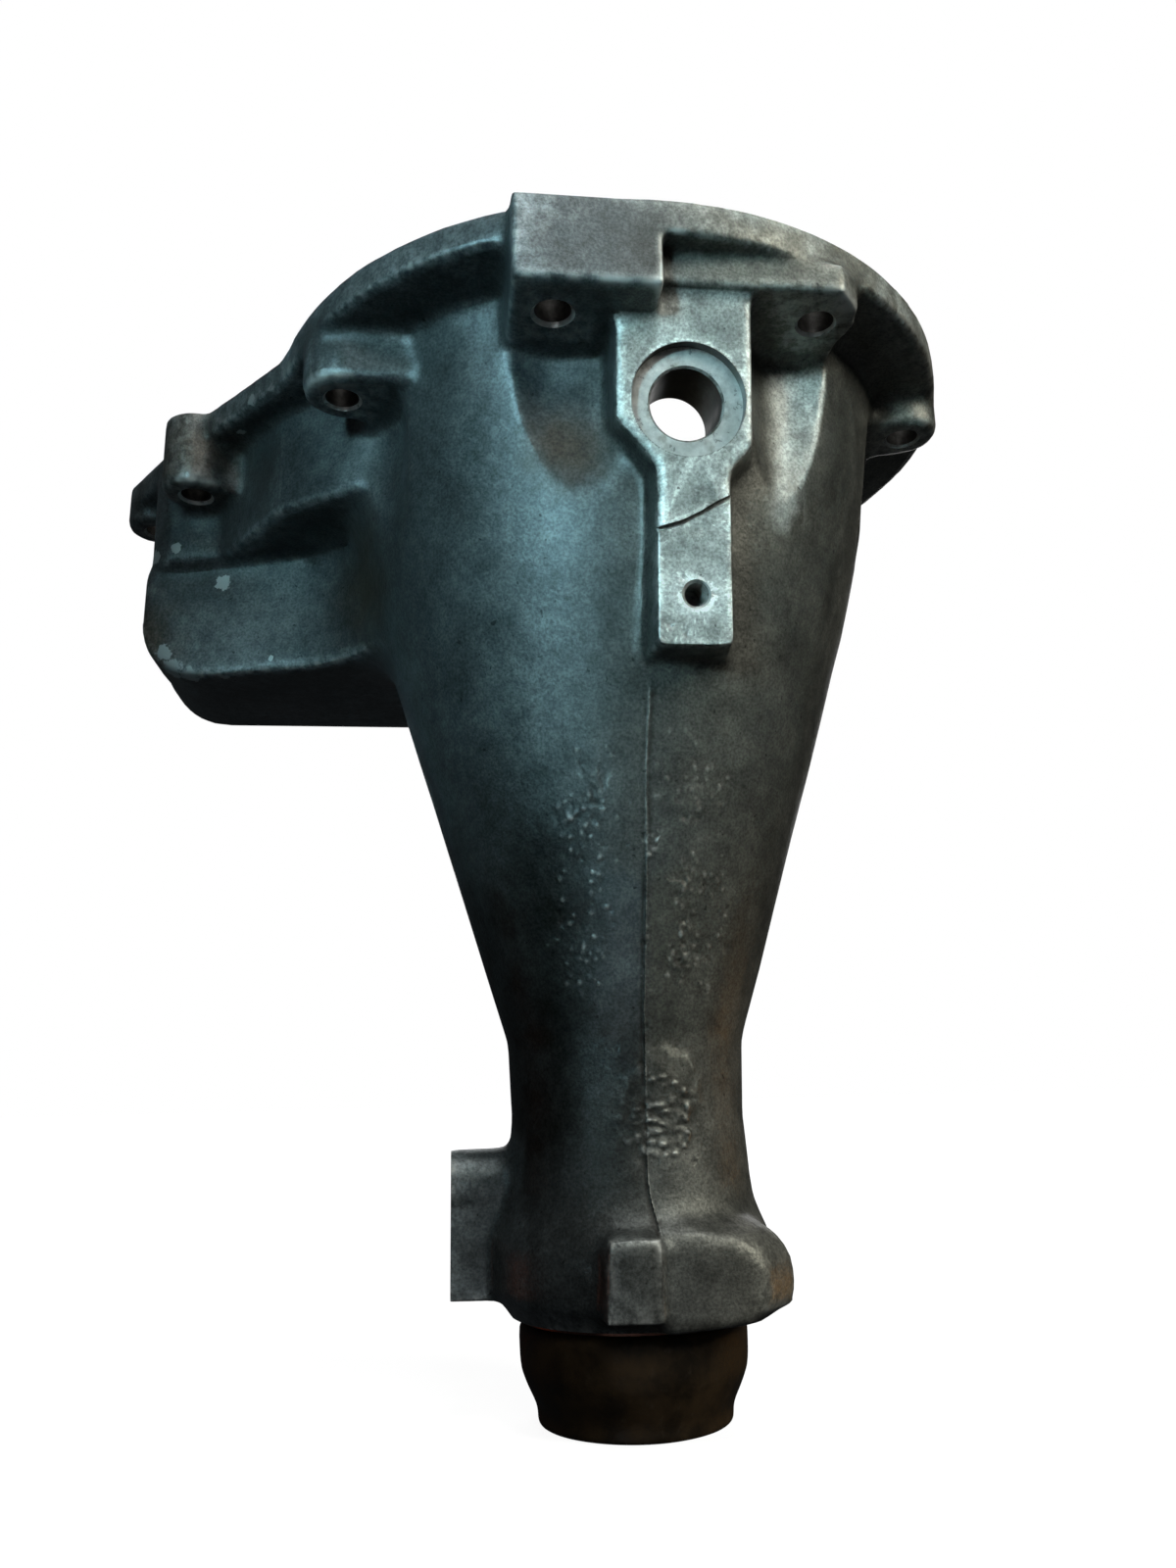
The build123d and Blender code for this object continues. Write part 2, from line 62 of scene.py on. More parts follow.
# sizes that the looks share with the solids, in millimetres
BOLT_CIRCLE_R = 110.3
BOLT_ANGLES = (-150.0, -106.0, -61.5, -17.5, 26.5, 70.5, 114.5)
BOLT_LEVELS = (-27.6, -27.6, -20.0, -20.0, -20.0, -20.0, -20.0)
LOBE_BOLTS = ((-155.8, 14.3, -28.0), (-182.0, 69.0, -17.0), (-128.0, 107.0, -28.0))
BOLT_R = 5.5
CHAMFER = 1.0
REGISTER_R = 96.0
REGISTER_DEPTH = 5.0
SENSOR_TILT = math.radians(11.0)
SENSOR_OFFSET = 111.5
SENSOR_AT = (9.8, -31.5)
SENSOR_BORE_R = 11.0
SENSOR_BORE_LENGTH = 28.0
SENSOR_SEAT_R = 17.3
SENSOR_SEAT_DEPTH = 4.0
PAD_HOLE_AT = (12.0, -89.4)
PAD_HOLE_R = 3.4
PAD_HOLE_DEPTH = 14.0
PAD_STEP = 1.2
# on the sensor's face plane: the edge of the step, the lower pad and the head round the bore
STEP_LINE = (
    (-6.0, -71.2),
    (0.9, -69.8),
    (7.5, -67.8),
    (13.4, -64.7),
    (17.8, -61.9),
    (22.3, -59.6),
    (30.0, -56.4),
)
STEP_GROOVE_WIDTH = 1.3
STEP_GROOVE_DEPTH = 0.8
LOWER_PAD = ((0.4, -70.6), (22.3, -61.2), (22.9, -104.4), (0.6, -104.6))
HEAD_OUTLINE = ((-12.0, 6.5), (28.8, 6.5), (29.2, -44.6), (22.3, -52.5), (0.4, -51.3), (-12.0, -37.8))
HEAD_DEPTH = 20.0
MOUNT_Z = -276.8
MOUNT_END_X = -58.5
MOUNT_HOLE_R = 5.1
MOUNT_HOLE_DEPTH = 20.0
TAIL_END_Z = -318.0
# bores at the tail end: radius and the level that each reaches
TAIL_BORES = ((26.0, -258.0), (28.5, -296.0), (33.0, -303.0))
STOCK = 2.5
SCALLOP_R = 21.5
SCALLOP_LOW_Z = -97.6
WIDE_SCALLOP_STEP = (8.0, -1.0)
YOKE_R = 23.8
M8_R, M8_PITCH = 4.0, 1.25
M12_R, M12_PITCH = 6.0, 1.75
# how much wider a plug is than the hole that it fills
PLUG_SPARE = 0.3

BOLTS = [
    (
        BOLT_CIRCLE_R * math.cos(math.radians(a)),
        BOLT_CIRCLE_R * math.sin(math.radians(a)),
        level,
    )
    for a, level in zip(BOLT_ANGLES, BOLT_LEVELS)
] + list(LOBE_BOLTS)

S_Z = np.array([0.0, -math.cos(SENSOR_TILT), -math.sin(SENSOR_TILT)])
S_Y = np.array([0.0, -math.sin(SENSOR_TILT), math.cos(SENSOR_TILT)])
S_X = np.array([1.0, 0.0, 0.0])
S_O = S_Z * SENSOR_OFFSET


def on_sensor(x, y, depth=0.0):
    """A point of the sensor face plane, depth millimetres below it."""
    return S_O + S_X * x + S_Y * y - S_Z * depth


# mesh helpers
def new_object(name, verts_mm, faces):
    mesh = bpy.data.meshes.new(name)
    mesh.from_pydata([tuple(c * MM for c in v) for v in verts_mm], [], faces)
    mesh.update()
    obj = bpy.data.objects.new(name, mesh)
    bpy.context.scene.collection.objects.link(obj)
    return obj


def cylinder(name, start, end, r_start, r_end=None, segments=64):
    """A closed frustum from start to end."""
    r_end = r_start if r_end is None else r_end
    start, end = np.array(start, float), np.array(end, float)
    axis = (end - start) / np.linalg.norm(end - start)
    side = np.cross(axis, [1.0, 0, 0] if abs(axis[0]) < 0.9 else [0, 1.0, 0])
    side /= np.linalg.norm(side)
    other = np.cross(axis, side)
    verts = []
    for point, r in ((start, r_start), (end, r_end)):
        for i in range(segments):
            t = 2 * math.pi * i / segments
            verts.append(point + r * (math.cos(t) * side + math.sin(t) * other))
    faces = [tuple(range(segments - 1, -1, -1)), tuple(range(segments, 2 * segments))]
    for i in range(segments):
        j = (i + 1) % segments
        faces.append((i, j, segments + j, segments + i))
    return new_object(name, verts, faces)


def box(name, low, high):
    verts = [
        (x, y, z)
        for x in (low[0], high[0])
        for y in (low[1], high[1])
        for z in (low[2], high[2])
    ]
    faces = [(0, 1, 3, 2), (4, 6, 7, 5), (0, 4, 5, 1), (2, 3, 7, 6), (0, 2, 6, 4), (1, 5, 7, 3)]
    return new_object(name, verts, faces)


def prism(name, outline, place):
    """A closed prism; place turns an outline point and 0 or 1 into a corner of an end."""
    n = len(outline)
    verts = [place(x, y, end) for end in (0, 1) for x, y in outline]
    faces = [tuple(range(n - 1, -1, -1)), tuple(range(n, 2 * n))]
    faces += [(i, (i + 1) % n, n + (i + 1) % n, n + i) for i in range(n)]
    return new_object(name, verts, faces)


def sensor_drill(name, at, top, bottom, r, r_end=None, segments=64):
    """A cutter square to the sensor face, between two depths below it."""
    return cylinder(name, on_sensor(*at, top), on_sensor(*at, bottom), r, r_end, segments)


def sensor_prism(name, outline, top, bottom):
    """A prism on an outline drawn on the sensor face, between two depths below it."""
    return prism(name, outline, lambda x, y, end: on_sensor(x, y, bottom if end else top))


def stadium(a, b, r, segments=64):
    """Outline of the room that a round tool needs between two centres."""
    way = (b[0] - a[0], b[1] - a[1])
    points = []
    for i in range(segments):
        t = 2 * math.pi * i / segments
        c, s = math.cos(t), math.sin(t)
        centre = b if c * way[0] + s * way[1] > 0 else a
        points.append((centre[0] + r * c, centre[1] + r * s))
    return points


def thread(name, start, end, r_minor, r_major, pitch, segments=32, steps=6):
    """A tap: a rod from start to end with a fine thread on it."""
    start, end = np.array(start, float), np.array(end, float)
    length = np.linalg.norm(end - start)
    axis = (end - start) / length
    side = np.cross(axis, [1.0, 0, 0] if abs(axis[0]) < 0.9 else [0, 1.0, 0])
    side /= np.linalg.norm(side)
    other = np.cross(axis, side)
    rows = int(length / pitch * steps)
    verts, faces = [], []
    for j in range(rows + 1):
        for i in range(segments):
            t = 2 * math.pi * i / segments
            phase = (j / steps - i / segments) % 1.0
            crest = min(max(1.3 - 2.6 * abs(phase - 0.5), 0.0), 1.0)
            r = r_minor + (r_major - r_minor) * crest
            out = math.cos(t) * side + math.sin(t) * other
            verts.append(start + axis * (length * j / rows) + r * out)
    for j in range(rows):
        for i in range(segments):
            k = (i + 1) % segments
            a, b = j * segments, (j + 1) * segments
            faces.append((a + i, a + k, b + k, b + i))
    faces.append(tuple(range(segments - 1, -1, -1)))
    faces.append(tuple(rows * segments + i for i in range(segments)))
    return new_object(name, verts, faces)


def lathe(name, profile, segments=128, closed=False):
    """A solid of revolution about Z from (radius, level) pairs, closed where it is a ring."""
    verts, faces = [], []
    n = len(profile)
    for i in range(segments):
        t = 2 * math.pi * i / segments
        for r, z in profile:
            verts.append((r * math.cos(t), r * math.sin(t), z))
    last = n if closed else n - 1
    for i in range(segments):
        a, b = i * n, ((i + 1) % segments) * n
        for k in range(last):
            m = (k + 1) % n
            faces.append((a + k, b + k, b + m, a + m))
    if not closed:
        faces.append(tuple(i * n for i in range(segments))[::-1])
        faces.append(tuple(i * n + n - 1 for i in range(segments)))
    return new_object(name, verts, faces)


def settle(obj):
    """Turns what the modifiers make into the object's own mesh."""
    graph = bpy.context.evaluated_depsgraph_get()
    mesh = bpy.data.meshes.new_from_object(obj.evaluated_get(graph))
    obj.modifiers.clear()
    old = obj.data
    obj.data = mesh
    bpy.data.meshes.remove(old)
    return obj


def normals_out(obj):
    bm = bmesh.new()
    bm.from_mesh(obj.data)
    bmesh.ops.recalc_face_normals(bm, faces=bm.faces)
    bm.to_mesh(obj.data)
    bm.free()
    return obj


def combine(obj, tools, operation):
    """A boolean for each tool, all applied at once, by the solver that keeps meshes closed."""
    for tool in tools:
        normals_out(tool)
        modifier = obj.modifiers.new("cut", "BOOLEAN")
        modifier.operation = operation
        modifier.solver = "MANIFOLD"
        modifier.object = tool
    settle(obj)
    for tool in tools:
        bpy.data.objects.remove(tool)
    return obj


def coords(mesh):
    co = np.empty(len(mesh.vertices) * 3)
    mesh.vertices.foreach_get("co", co)
    return co.reshape(-1, 3) / MM


def put_coords(mesh, co):
    mesh.vertices.foreach_set("co", (co * MM).astype(np.float32).ravel())
    mesh.update()


def edge_pairs(mesh):
    e = np.empty(len(mesh.edges) * 2, np.int32)
    mesh.edges.foreach_get("vertices", e)
    return e.reshape(-1, 2)


def corner_table(mesh):
    """Vertex indices of each face as four columns; a triangle repeats its last corner."""
    loops = np.empty(len(mesh.loops), np.int32)
    mesh.loops.foreach_get("vertex_index", loops)
    start = np.empty(len(mesh.polygons), np.int32)
    total = np.empty(len(mesh.polygons), np.int32)
    mesh.polygons.foreach_get("loop_start", start)
    mesh.polygons.foreach_get("loop_total", total)
    offset = np.minimum(np.arange(4)[None, :], total[:, None] - 1)
    return loops[start[:, None] + offset]


def vertex_normals(co, quads):
    n = np.cross(co[quads[:, 2]] - co[quads[:, 0]], co[quads[:, 3]] - co[quads[:, 1]])
    out = np.zeros_like(co)
    for k in range(4):
        for c in range(3):
            out[:, c] += np.bincount(quads[:, k], weights=n[:, c], minlength=len(co))
    length = np.linalg.norm(out, axis=1)
    length[length == 0] = 1.0
    return out / length[:, None]


def pull(co, pairs, degree):
    """For each vertex, the way to the middle of its neighbours."""
    total = np.zeros_like(co)
    for c in range(3):
        total[:, c] = np.bincount(pairs[:, 0], weights=co[pairs[:, 1], c], minlength=len(co))
        total[:, c] += np.bincount(pairs[:, 1], weights=co[pairs[:, 0], c], minlength=len(co))
    return total / degree[:, None] - co


def relax(co, pairs, quads, weight, rounds, side=0):
    """Smooths where weight says. side 1 only adds metal in inner corners, side -1 only
    takes it off outer edges, and 0 does both."""
    use = weight > 0
    pairs = pairs[use[pairs[:, 0]] | use[pairs[:, 1]]]
    quads = quads[use[quads].any(axis=1)]
    local = np.unique(np.concatenate([pairs.ravel(), quads.ravel()]))
    index = np.zeros(len(co), np.int64)
    index[local] = np.arange(len(local))
    pairs, quads = index[pairs], index[quads]
    part = co[local]
    weight = 0.5 * weight[local]
    degree = np.bincount(pairs.ravel(), minlength=len(part)).astype(float)
    degree[degree == 0] = 1.0
    normal = None
    for i in range(rounds):
        step = pull(part, pairs, degree)
        if side:
            if normal is None or i % 8 == 0:
                normal = vertex_normals(part, quads)
            along = (step * normal).sum(1)
            along = np.clip(along * side, 0, None) * side
            step = along[:, None] * normal
        part = part + step * weight[:, None]
    out = co.copy()
    out[local] = part
    return out


def bend(co, pairs, normal, rounds, limit=1.5):
    """How sharply the surface bends, per millimetre: above 0 on outer edges, below 0 in
    inner corners. Each round spreads it to the neighbours."""
    way = co[pairs[:, 1]] - co[pairs[:, 0]]
    square = np.maximum((way * way).sum(1), 1e-6)
    first = np.clip(-2 * (normal[pairs[:, 0]] * way).sum(1) / square, -limit, limit)
    second = np.clip(2 * (normal[pairs[:, 1]] * way).sum(1) / square, -limit, limit)
    degree = np.maximum(np.bincount(pairs.ravel(), minlength=len(co)), 1)
    out = np.bincount(pairs[:, 0], weights=first, minlength=len(co))
    out += np.bincount(pairs[:, 1], weights=second, minlength=len(co))
    out /= degree
    for _ in range(rounds):
        near = np.bincount(pairs[:, 0], weights=out[pairs[:, 1]], minlength=len(co))
        near += np.bincount(pairs[:, 1], weights=out[pairs[:, 0]], minlength=len(co))
        out = 0.5 * out + 0.5 * near / degree
    return out


def refine(obj, wanted, length, passes):
    """Splits the edges longer than length where wanted says so, of the coordinates."""
    bm = bmesh.new()
    bm.from_mesh(obj.data)
    bmesh.ops.triangulate(bm, faces=[f for f in bm.faces if len(f.verts) > 3])
    for _ in range(passes):
        bm.verts.ensure_lookup_table()
        bm.verts.index_update()
        inside = wanted(np.array([v.co for v in bm.verts]) / MM)
        edges = [
            e
            for e in bm.edges
            if inside[e.verts[0].index]
            and inside[e.verts[1].index]
            and e.calc_length() > length * MM
        ]
        if not edges:
            break
        bmesh.ops.subdivide_edges(bm, edges=edges, cuts=1)
        bmesh.ops.triangulate(bm, faces=[f for f in bm.faces if len(f.verts) > 3])
    bm.to_mesh(obj.data)
    bm.free()


def smoothstep(low, high, x):
    t = np.clip((x - low) / (high - low), 0, 1)
    return t * t * (3 - 2 * t)


def lattice_noise(points, cell, seed):
    """Smooth noise from -1 to 1 with features of about cell millimetres."""
    p = points / cell + 1000.0
    base = np.floor(p).astype(np.int64)
    f = p - base
    f = f * f * (3 - 2 * f)
    out = np.zeros(len(points))
    for dx in (0, 1):
        for dy in (0, 1):
            for dz in (0, 1):
                h = (
                    (base[:, 0] + dx) * 73856093
                    ^ (base[:, 1] + dy) * 19349663
                    ^ (base[:, 2] + dz) * 83492791
                    ^ (seed * 2654435761)
                ) & 0xFFFFFF
                h = (h * 1103515245 + 12345) & 0x7FFFFFFF
                value = (h >> 8) / float(0x7FFFFFFF >> 8) * 2 - 1
                w = (
                    (f[:, 0] if dx else 1 - f[:, 0])
                    * (f[:, 1] if dy else 1 - f[:, 1])
                    * (f[:, 2] if dz else 1 - f[:, 2])
                )
                out += w * value
    return out


def fractal(points, cell, seed, octaves=3):
    total, size = np.zeros(len(points)), 1.0
    for k in range(octaves):
        total += size * lattice_noise(points, cell / 2**k, seed + k)
        size *= 0.5
    return total


# the marks that the photograph shows on the front of the casting: x, level, in millimetres
SEAM_TOP_Z = -131.0
SEAM_STEP_Z = -178.0
SEAM_LOW_Z = -291.0
PATCH = (5.0, -254.5, 14.5, 19.0)
# lumps of the patch and of the spot above it: x, level, half length, half height, rise
LUMPS = (
    (3.0, -254.4, 2.6, 0.9, 0.95),
    (5.8, -256.2, 1.6, 0.7, 0.60),
    (2.0, -258.6, 1.8, 0.7, 0.65),
    (5.0, -259.8, 1.3, 0.6, 0.45),
    (3.8, -262.0, 2.3, 0.8, 0.80),
    (1.6, -265.0, 1.5, 0.8, 0.60),
    (4.8, -265.8, 1.5, 0.7, 0.50),
    (-2.8, -255.4, 1.5, 0.7, 0.50),
    (-3.6, -259.4, 1.3, 0.6, 0.40),
    (-2.6, -263.2, 1.2, 0.6, 0.35),
    (2.2, -246.6, 1.0, 0.9, 0.60),
    (5.4, -246.0, 1.4, 0.7, 0.55),
    (9.4, -247.8, 1.3, 0.8, 0.50),
    (12.4, -250.6, 0.9, 0.9, 0.60),
    (13.4, -254.8, 0.8, 1.1, 0.60),
    (12.6, -258.6, 0.9, 0.9, 0.50),
    (13.2, -262.6, 0.8, 1.0, 0.60),
    (11.8, -266.4, 1.1, 0.9, 0.60),
    (8.6, -268.6, 1.3, 0.7, 0.55),
    (5.8, -268.8, 0.9, 0.7, 0.45),
    (1.6, -174.4, 0.9, 0.8, 0.50),
    (3.6, -175.6, 0.9, 0.9, 0.55),
    (2.4, -178.2, 1.0, 0.8, 0.50),
    (0.9, -180.0, 0.9, 0.9, 0.45),
    (4.2, -172.8, 0.8, 0.7, 0.40),
    (8.6, -187.6, 2.8, 0.45, 0.4),
)
# fields of small blisters: middle x, level, half width, half height, how many
BLISTERS = (
    (-17.0, -190.0, 11.0, 30.0, 80),
    (-20.0, -160.0, 9.0, 14.0, 22),
    (12.5, -197.0, 5.0, 19.0, 60),
    (19.0, -185.0, 9.0, 34.0, 55),
    (9.0, -152.0, 8.0, 12.0, 16),
)
# streaked scabs on the left of the seam
SCAB = (-17.5, -160.0, 8.0, 15.0)


def patch_rows(z):
    """1 at the levels of the patch, where the seam fades."""
    return smoothstep(-246, -251, z) * smoothstep(-271, -267, z)


def seam_x(z):
    """Where the parting line of the two dies runs."""
    low = smoothstep(-276, -292, z)
    return 0.1 + 0.5 * smoothstep(-150, -128, z) + 2.2 * low + 0.28 * lattice_noise(
        np.stack([0 * z, 0 * z, z], axis=1), 9.0, 31
    )


def in_detail(co):
    """True in the parts of the front that carry fine marks."""
    x, y, z = co.T
    front = (y < -20) & (np.hypot(x, y) > 30)
    strip = (abs(x - 0.6) < 3.2) & (z < SEAM_TOP_Z) & (z > SEAM_LOW_Z)
    patch = (abs(x - PATCH[0]) < PATCH[2]) & (abs(z - PATCH[1]) < PATCH[3])
    fields = np.zeros(len(x), bool)
    for mid_x, mid_z, wide, high, _ in BLISTERS:
        fields |= (abs(x - mid_x) < wide + 1) & (abs(z - mid_z) < high + 1)
    return front & (strip | patch | fields)


# the casting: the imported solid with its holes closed, remeshed and softened as cast
VOXEL = 1.0
BASE_TRIANGLES = 102000

work = bpy.data.objects.new("housing_work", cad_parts["tail_housing"].data.copy())
bpy.context.scene.collection.objects.link(work)
bm = bmesh.new()
bm.from_mesh(work.data)
bmesh.ops.remove_doubles(bm, verts=bm.verts, dist=2e-6)
bm.to_mesh(work.data)
bm.free()

plugs = []
for i, (x, y, level) in enumerate(BOLTS):
    plugs.append(cylinder(f"plug_{i}", (x, y, 0), (x, y, level), BOLT_R + CHAMFER + 2 * PLUG_SPARE))
seat_plug = SENSOR_SEAT_R + PLUG_SPARE
bore_plug = SENSOR_BORE_R + PLUG_SPARE
pad_plug = PAD_HOLE_R + PLUG_SPARE
plugs.append(sensor_drill("plug_seat", SENSOR_AT, 0.0, SENSOR_SEAT_DEPTH + 1.0, seat_plug))
plugs.append(sensor_drill("plug_bore", SENSOR_AT, SENSOR_SEAT_DEPTH, SENSOR_BORE_LENGTH, bore_plug))
plugs.append(sensor_drill("plug_pad", PAD_HOLE_AT, PAD_STEP, PAD_HOLE_DEPTH + 1.0, pad_plug))
mount_plug_end = (MOUNT_END_X + MOUNT_HOLE_DEPTH + 1.0, 0, MOUNT_Z)
plugs.append(cylinder("plug_mount", (MOUNT_END_X, 0, MOUNT_Z), mount_plug_end, MOUNT_HOLE_R + PLUG_SPARE))
plugs.append(sensor_prism("plug_step", LOWER_PAD, 0.0, 3.0))
combine(work, plugs, "UNION")
second = BOLTS[1]
beside = (second[0] + WIDE_SCALLOP_STEP[0], second[1] + WIDE_SCALLOP_STEP[1])
wide_scallop = stadium(second[:2], beside, SCALLOP_R)
tool = prism("wide_scallop", wide_scallop, lambda x, y, end: (x, y, (second[2], SCALLOP_LOW_Z)[end]))
combine(work, [tool], "DIFFERENCE")
combine(work, [sensor_prism("head_again", HEAD_OUTLINE, 0.0, HEAD_DEPTH)], "UNION")

remesh = work.modifiers.new("remesh", "REMESH")
remesh.mode = "VOXEL"
remesh.voxel_size = VOXEL * MM
remesh.adaptivity = 0.0
settle(work)

co = coords(work.data)
pairs = edge_pairs(work.data)
quads = corner_table(work.data)
scale = (1.0 / VOXEL) ** 2


def rounds(n):
    return max(1, int(round(n * scale)))


everywhere = np.ones(len(co))
co = relax(co, pairs, quads, everywhere, rounds(5))
x, y, z = co.T

# inner corners of the casting
on_pad = (x > -16) & (x < 33) & (y < -80) & (z > -140) & (z < -10)
co = relax(co, pairs, quads, np.where(on_pad, 0.3, 1.0), rounds(30), side=1)

# the box of the pocket runs softly into the cone
near_blend = smoothstep(-138, -108, x) * smoothstep(-60, -74, x) * smoothstep(42, 25, y)
near_blend *= smoothstep(-46, -54, z) * smoothstep(-106, -99, z)
co = relax(co, pairs, quads, near_blend, rounds(420), side=1)
# the neck swells into the collar, and the mount boss has a wide fillet
near_neck = smoothstep(-262, -270, z) * smoothstep(-300, -294, z) * (y < 60)
co = relax(co, pairs, quads, near_neck, rounds(50), side=1)

# worn outer edges, rounder on the lower edge of the box and on the collar
co = relax(co, pairs, quads, everywhere * 0.8, rounds(8), side=-1)
near_round = ((z < -84) & (x < -70) & (y < 70)) | ((z < -286) & (z > -312))
co = relax(co, pairs, quads, near_round * 0.9, rounds(16), side=-1)
near_round = (z < -286) & (z > -299) & (y < -30)
co = relax(co, pairs, quads, near_round * 0.9, rounds(22), side=-1)

# soft edges under the flange and on the ledges beside the box
edge_bend = bend(co, pairs, vertex_normals(co, quads), 4)
x, y, z = co.T
under = (z < -9) & (z > -70) & (np.hypot(x, y) > 84) & ((x < -48) | (x > 66) | (y > 0))
co = relax(co, pairs, quads, under * smoothstep(0.05, 0.14, abs(edge_bend)), rounds(16))



def with_stock(values, face, depth):
    """Stretches the last few millimetres before a face, so that the face moves out by STOCK."""
    inner = face - depth
    return inner + (values - inner) * (1 + STOCK / abs(depth))


# stock on the faces that are machined afterwards
z = co[:, 2]
co[:, 2] = np.where(z > -6, with_stock(z, 0.0, 6), z)
z = co[:, 2]
co[:, 2] = np.where(z < TAIL_END_Z + 4, with_stock(z, TAIL_END_Z, -4), z)
x = co[:, 0]
on_mount = (x < MOUNT_END_X + 4) & (co[:, 2] < -240)
co[:, 0] = np.where(on_mount, with_stock(x, MOUNT_END_X, -4), x)
put_coords(work.data, co)

# fewer triangles, but not on the marks of the front or on outer edges
normal = vertex_normals(co, quads)
edge_bend = bend(co, pairs, normal, 5)
x, y, z = co.T
kept = in_detail(co) | on_pad & (y < -100)
kept |= (edge_bend > 0.13 / VOXEL) & (y < 45) & (np.hypot(x, y) > 37) & (z < 0.5) & (z > -316)
group = work.vertex_groups.new(name="free")
group.add([int(i) for i in np.flatnonzero(~kept)], 1.0, "REPLACE")
decimate = work.modifiers.new("fewer", "DECIMATE")
triangles = sum(len(p.vertices) - 2 for p in work.data.polygons)
decimate.ratio = min(1.0, BASE_TRIANGLES / triangles)
decimate.vertex_group = "free"
settle(work)
work.vertex_groups.clear()

# marks on the front, on a finer mesh
refine(work, in_detail, 0.80, 1)
refine(work, lambda c: in_detail(c) & (abs(c[:, 0] - seam_x(c[:, 2])) < 1.3), 0.40, 1)
co = coords(work.data)
pairs = edge_pairs(work.data)
quads = corner_table(work.data)
co = relax(co, pairs, quads, in_detail(co) * 0.8, 3)
normal = vertex_normals(co, quads)
x, y, z = co.T
radius = np.maximum(np.hypot(x, y), 1.0)
outward = (normal[:, 0] * x + normal[:, 1] * y) / radius
front = (outward > 0.25) & (y < -10) & (z < -120) & (z > SEAM_LOW_Z - 22)
depth_on_pad = (S_O - co) @ S_Z
flat_pad = (abs(depth_on_pad) < 3) & (x > -14) & (x < 31) & (z < -10) & (y < -80)

rise = 0.20 * fractal(co, 26.0, 3) + 0.07 * fractal(co, 7.0, 9)
rise = np.where(flat_pad, 0.02, rise)
across = x - seam_x(z)
along = smoothstep(SEAM_TOP_Z + 2, SEAM_TOP_Z - 3, z) * smoothstep(SEAM_LOW_Z - 1, SEAM_LOW_Z + 3, z)
lower = smoothstep(SEAM_STEP_Z + 8, SEAM_STEP_Z - 6, z)
uneven = 0.75 + 0.45 * fractal(co, 6.0, 41, 2)
seam = (0.34 - 0.12 * lower) * np.exp(-((across / 0.42) ** 2)) * uneven
seam += lower * np.where(across > 0, 0.42 * np.exp(-across / 16.0), -0.12 * np.exp(across / 2.5))
seam += (1 - lower) * np.where(across > 0, -0.05, 0.14) * np.exp(-abs(across) / 18.0)
rise += front * along * seam * (1 - 0.7 * patch_rows(z))

spread_x = (x - PATCH[0]) / PATCH[2]
spread_z = (z - PATCH[1]) / PATCH[3]
spread = np.hypot(spread_x, spread_z) + 0.22 * fractal(co, 6.0, 51, 2)
patch = smoothstep(1.0, 0.72, spread)
rise += front * patch * (0.36 + (0.10 + 0.14 * smoothstep(-247, -253, z)) * fractal(co, 2.6, 55, 2))
for at_x, at_z, wide, high, lift in LUMPS:
    far = np.sqrt(((x - at_x) / wide) ** 2 + ((z - at_z) / high) ** 2)
    near = far < 2.2
    wobble = 0.35 * lattice_noise(co[near], 1.8, 61)
    rise[near] += front[near] * lift * np.exp(-((far[near] + wobble) ** 2) * 1.3)
for mid_x, mid_z, wide, high, count in BLISTERS:
    for _ in range(count):
        at_x = mid_x + wide * np.clip(rng.normal(0, 0.45), -1, 1)
        at_z = mid_z + high * rng.uniform(-1, 1)
        size = rng.uniform(0.45, 1.0)
        lift = rng.uniform(0.15, 0.38) * (1 if rng.uniform() < 0.72 else -0.9)
        far = np.hypot(x - at_x, (z - at_z) * rng.uniform(0.6, 1.0)) / size
        near = far < 2.0
        rise[near] += front[near] * lift * np.exp(-(far[near] ** 2) * 1.4)
scab = smoothstep(1.0, 0.5, np.hypot((x - SCAB[0]) / SCAB[2], (z - SCAB[1]) / SCAB[3]))
streak = fractal(co / np.array([1.0, 1.0, 2.6]), 2.6, 71, 2)
rise -= front * scab * 0.4 * smoothstep(0.15, 0.6, streak)
# pits over the whole casting
for _ in range(260):
    k = rng.integers(len(co))
    size = rng.uniform(0.7, 1.5)
    lift = rng.uniform(-0.4, 0.25)
    near = np.flatnonzero((abs(co - co[k]) < 2 * size).all(axis=1))
    far = np.linalg.norm(co[near] - co[k], axis=1) / size
    rise[near] += (outward[near] > 0.25) * ~flat_pad[near] * lift * np.exp(-(far**2) * 1.4)
co = co + normal * rise[:, None]
room_low = np.array(cad_low) / MM + 0.03
room_high = np.array(cad_high) / MM - 0.03
room_low[2] = TAIL_END_Z - STOCK
room_high[2] = STOCK
put_coords(work.data, np.clip(co, room_low, room_high))

